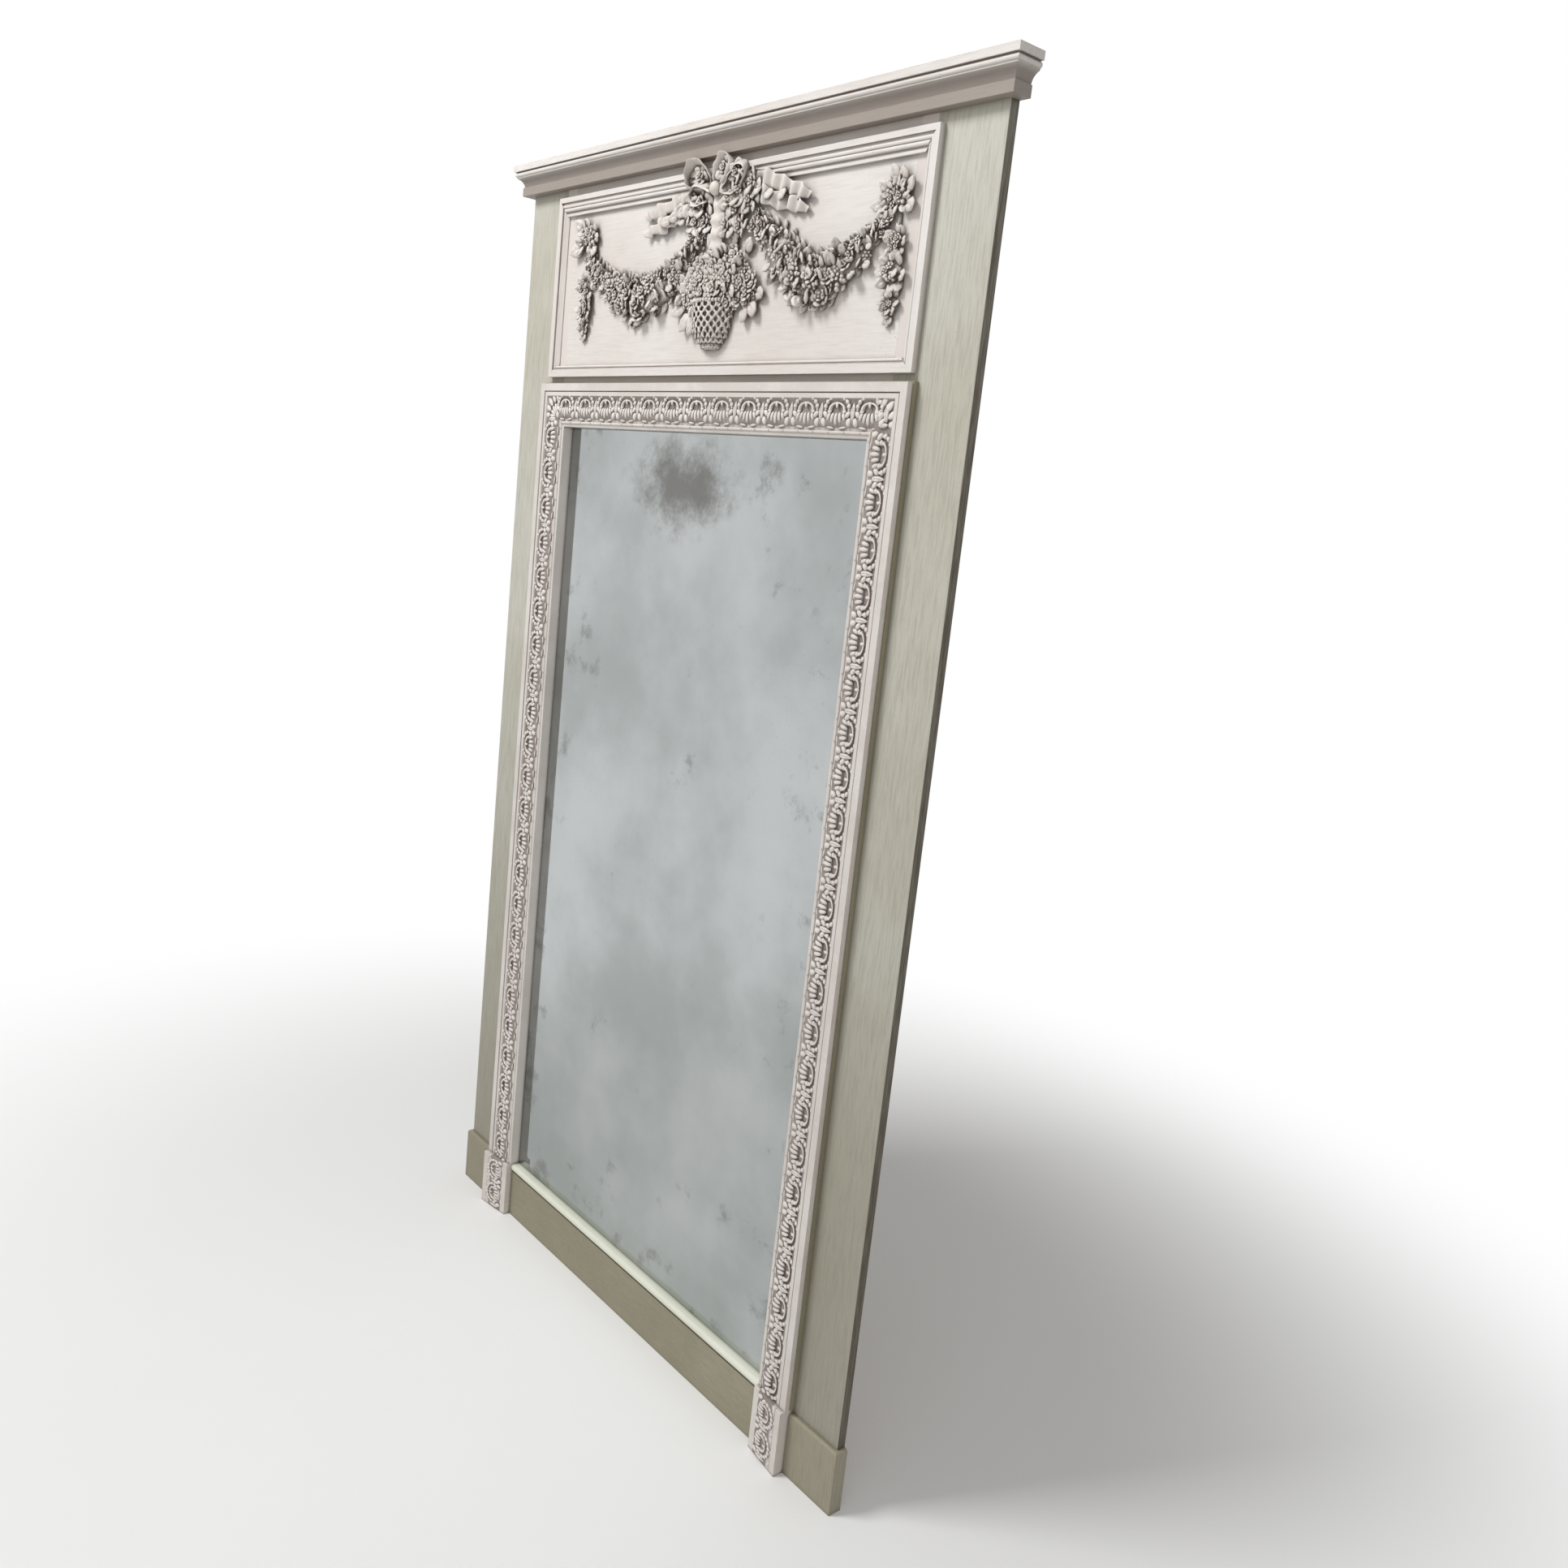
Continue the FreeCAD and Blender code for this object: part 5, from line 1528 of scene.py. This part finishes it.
@dataclass
class PlainMembers:
    """The boards, rails and mouldings whose own solids are shown."""

    finishes: Finishes

    def finish_of(self, node: str) -> Material:
        """Returns the finish that a solid gets.

        Args:
            node: The solid's name.
        """
        chosen = self.finishes
        rules = (
            ("mirror_glass", chosen.glass), ("glass_wedges", chosen.rail),
            ("backboard", chosen.pine), ("batten_screws", chosen.steel), ("batten", chosen.rail),
            ("hanger", chosen.steel), ("rail_bead", chosen.bead), ("base_rail", chosen.rail_paint_and_slip_shade),
            # The frame slips take the dark olive rail paint as painted shade beside the carved
            # frame.
            ("plinth_block", chosen.block), ("stile", chosen.board), ("frame_slip", chosen.rail_paint_and_slip_shade),
            ("frame_", chosen.frame), ("foot_block", chosen.frame),
            ("panel_moulding_left", chosen.cross), ("panel_moulding_right", chosen.cross),
            ("panel", chosen.pale), ("cornice", chosen.crown),
        )
        for start, finish in rules:
            if node.startswith(start):
                return finish
        return chosen.relief

    def build(self) -> None:
        """Dresses every solid."""
        for name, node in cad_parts.items():
            dress(node, self.finish_of(name))
        LOG.info("dressed %d solids", len(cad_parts))


# ---------------------------------------------------------------- studio


@dataclass
class Studio:
    """The floor, lamps, sky and camera."""

    camera_place: Point = (1.66057, -1.25358, 1.36501)
    camera_turn: Point = (78.9567, -5.9673, 50.3998)
    lens: float = 30.6513
    shift: tuple[float, float] = (0.0083765, -0.0090243)
    ground_colour: Colour = (0.86, 0.86, 0.85)
    sky_power: float = 0.40
    lamps: tuple[tuple[str, Point, Point, float, float], ...] = (
        ("key", (-0.9, -2.1, 3.9), (0, 0, 1.1), 1.1, 95.0),
        ("fill", (2.6, -2.6, 2.0), (0, 0, 0.9), 3.0, 22.0))

    def floor(self) -> None:
        """Lays a plain pale floor that fades into the background."""
        Bench.clear()
        bpy.ops.mesh.primitive_grid_add(x_subdivisions=8, y_subdivisions=8, size=40.0)
        floor = bpy.context.active_object
        floor.name = "floor"
        mix = Mixer("floor_card")
        mix.feed(mix.shader.inputs["Base Color"],
                 mix.blend(mix.noise(1.5), self.ground_colour, (0.89, 0.89, 0.88)))
        mix.shader.inputs["Roughness"].default_value = 0.9
        length = mix.tree.nodes.new("ShaderNodeVectorMath")
        length.operation = "LENGTH"
        mix.link(mix.space, length.inputs[0])
        fade = mix.span(length.outputs["Value"], 0.75, 2.1)
        white = mix.tree.nodes.new("ShaderNodeEmission")
        white.inputs["Color"].default_value = (1, 1, 1, 1)
        meet = mix.tree.nodes.new("ShaderNodeMixShader")
        seen = mix.tree.nodes.new("ShaderNodeLightPath")
        looked = mix.sum("MAXIMUM", seen.outputs["Is Camera Ray"], seen.outputs["Is Glossy Ray"])
        mix.link(mix.times(fade, looked), meet.inputs[0])
        mix.link(mix.shader.outputs[0], meet.inputs[1])
        mix.link(white.outputs[0], meet.inputs[2])
        out = mix.tree.nodes["Material Output"]
        mix.link(meet.outputs[0], out.inputs["Surface"])
        dress(floor, mix.material)

    def lamp(self, name: str, place: Point, aim: Point, size: float, power: float) -> None:
        """Hangs one soft square lamp.

        Args:
            name: Its name.
            place: Where it hangs, in metres.
            aim: Where it points.
            size: Its side.
            power: Its power in watts.
        """
        light = bpy.data.lights.new(name, "AREA")
        light.size = size
        light.energy = power
        lamp = bpy.data.objects.new(name, light)
        lamp.location = place
        lamp.rotation_euler = (Vector(aim) - Vector(place)).to_track_quat("-Z", "Y").to_euler()
        bpy.context.scene.collection.objects.link(lamp)

    def sky(self) -> None:
        """Sets an even sky that lights softly and is seen as white."""
        world = bpy.data.worlds.new("studio")
        world.use_nodes = True
        bpy.context.scene.world = world
        tree = world.node_tree
        soft = tree.nodes["Background"]
        soft.inputs["Color"].default_value = (1.0, 1.0, 1.0, 1.0)
        soft.inputs["Strength"].default_value = self.sky_power
        white = tree.nodes.new("ShaderNodeBackground")
        white.inputs["Color"].default_value = (1, 1, 1, 1)
        path = tree.nodes.new("ShaderNodeLightPath").outputs
        either = tree.nodes.new("ShaderNodeMath")
        seen = tree.nodes.new("ShaderNodeMath")
        either.operation = seen.operation = "MAXIMUM"
        meet = tree.nodes.new("ShaderNodeMixShader")
        for source, target in (
            (path["Is Camera Ray"], either.inputs[0]), (path["Is Glossy Ray"], either.inputs[1]),
            (either.outputs[0], seen.inputs[0]), (path["Is Transmission Ray"], seen.inputs[1]),
            (seen.outputs[0], meet.inputs[0]), (soft.outputs[0], meet.inputs[1]),
            (white.outputs[0], meet.inputs[2]),
            (meet.outputs[0], tree.nodes["World Output"].inputs["Surface"]),
        ):
            tree.links.new(source, target)

    def camera(self) -> None:
        """Sets the camera where the photograph was taken from."""
        data = bpy.data.cameras.new("camera")
        data.lens = self.lens
        data.sensor_width = 36.0
        data.shift_x, data.shift_y = self.shift
        camera = bpy.data.objects.new("camera", data)
        x, y, z = self.camera_place
        camera.location = (x, WALL + y, z)
        camera.rotation_euler = tuple(math.radians(a) for a in self.camera_turn)
        bpy.context.scene.collection.objects.link(camera)
        bpy.context.scene.camera = camera

    def build(self) -> None:
        """Sets up the whole studio."""
        self.floor()
        self.sky()
        for lamp in self.lamps:
            self.lamp(*lamp)
        self.camera()
        bpy.context.scene.view_settings.view_transform = "Standard"


def main() -> None:
    """Builds the mirror's looks, piece by piece."""
    logging.basicConfig(level=logging.INFO, format="%(name)s: %(message)s")
    finishes = Finishes()
    PlainMembers(finishes).build()
    for row in FrameCarving(finish=finishes.cut).build():
        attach(row, "body")
        LOG.info("%s: %d faces", row.name, len(row.data.polygons))
    PanelCarving(finishes.relief).build()
    Fixings(finishes.steel).build()
    Studio().build()


if __name__ == "__main__":
    main()
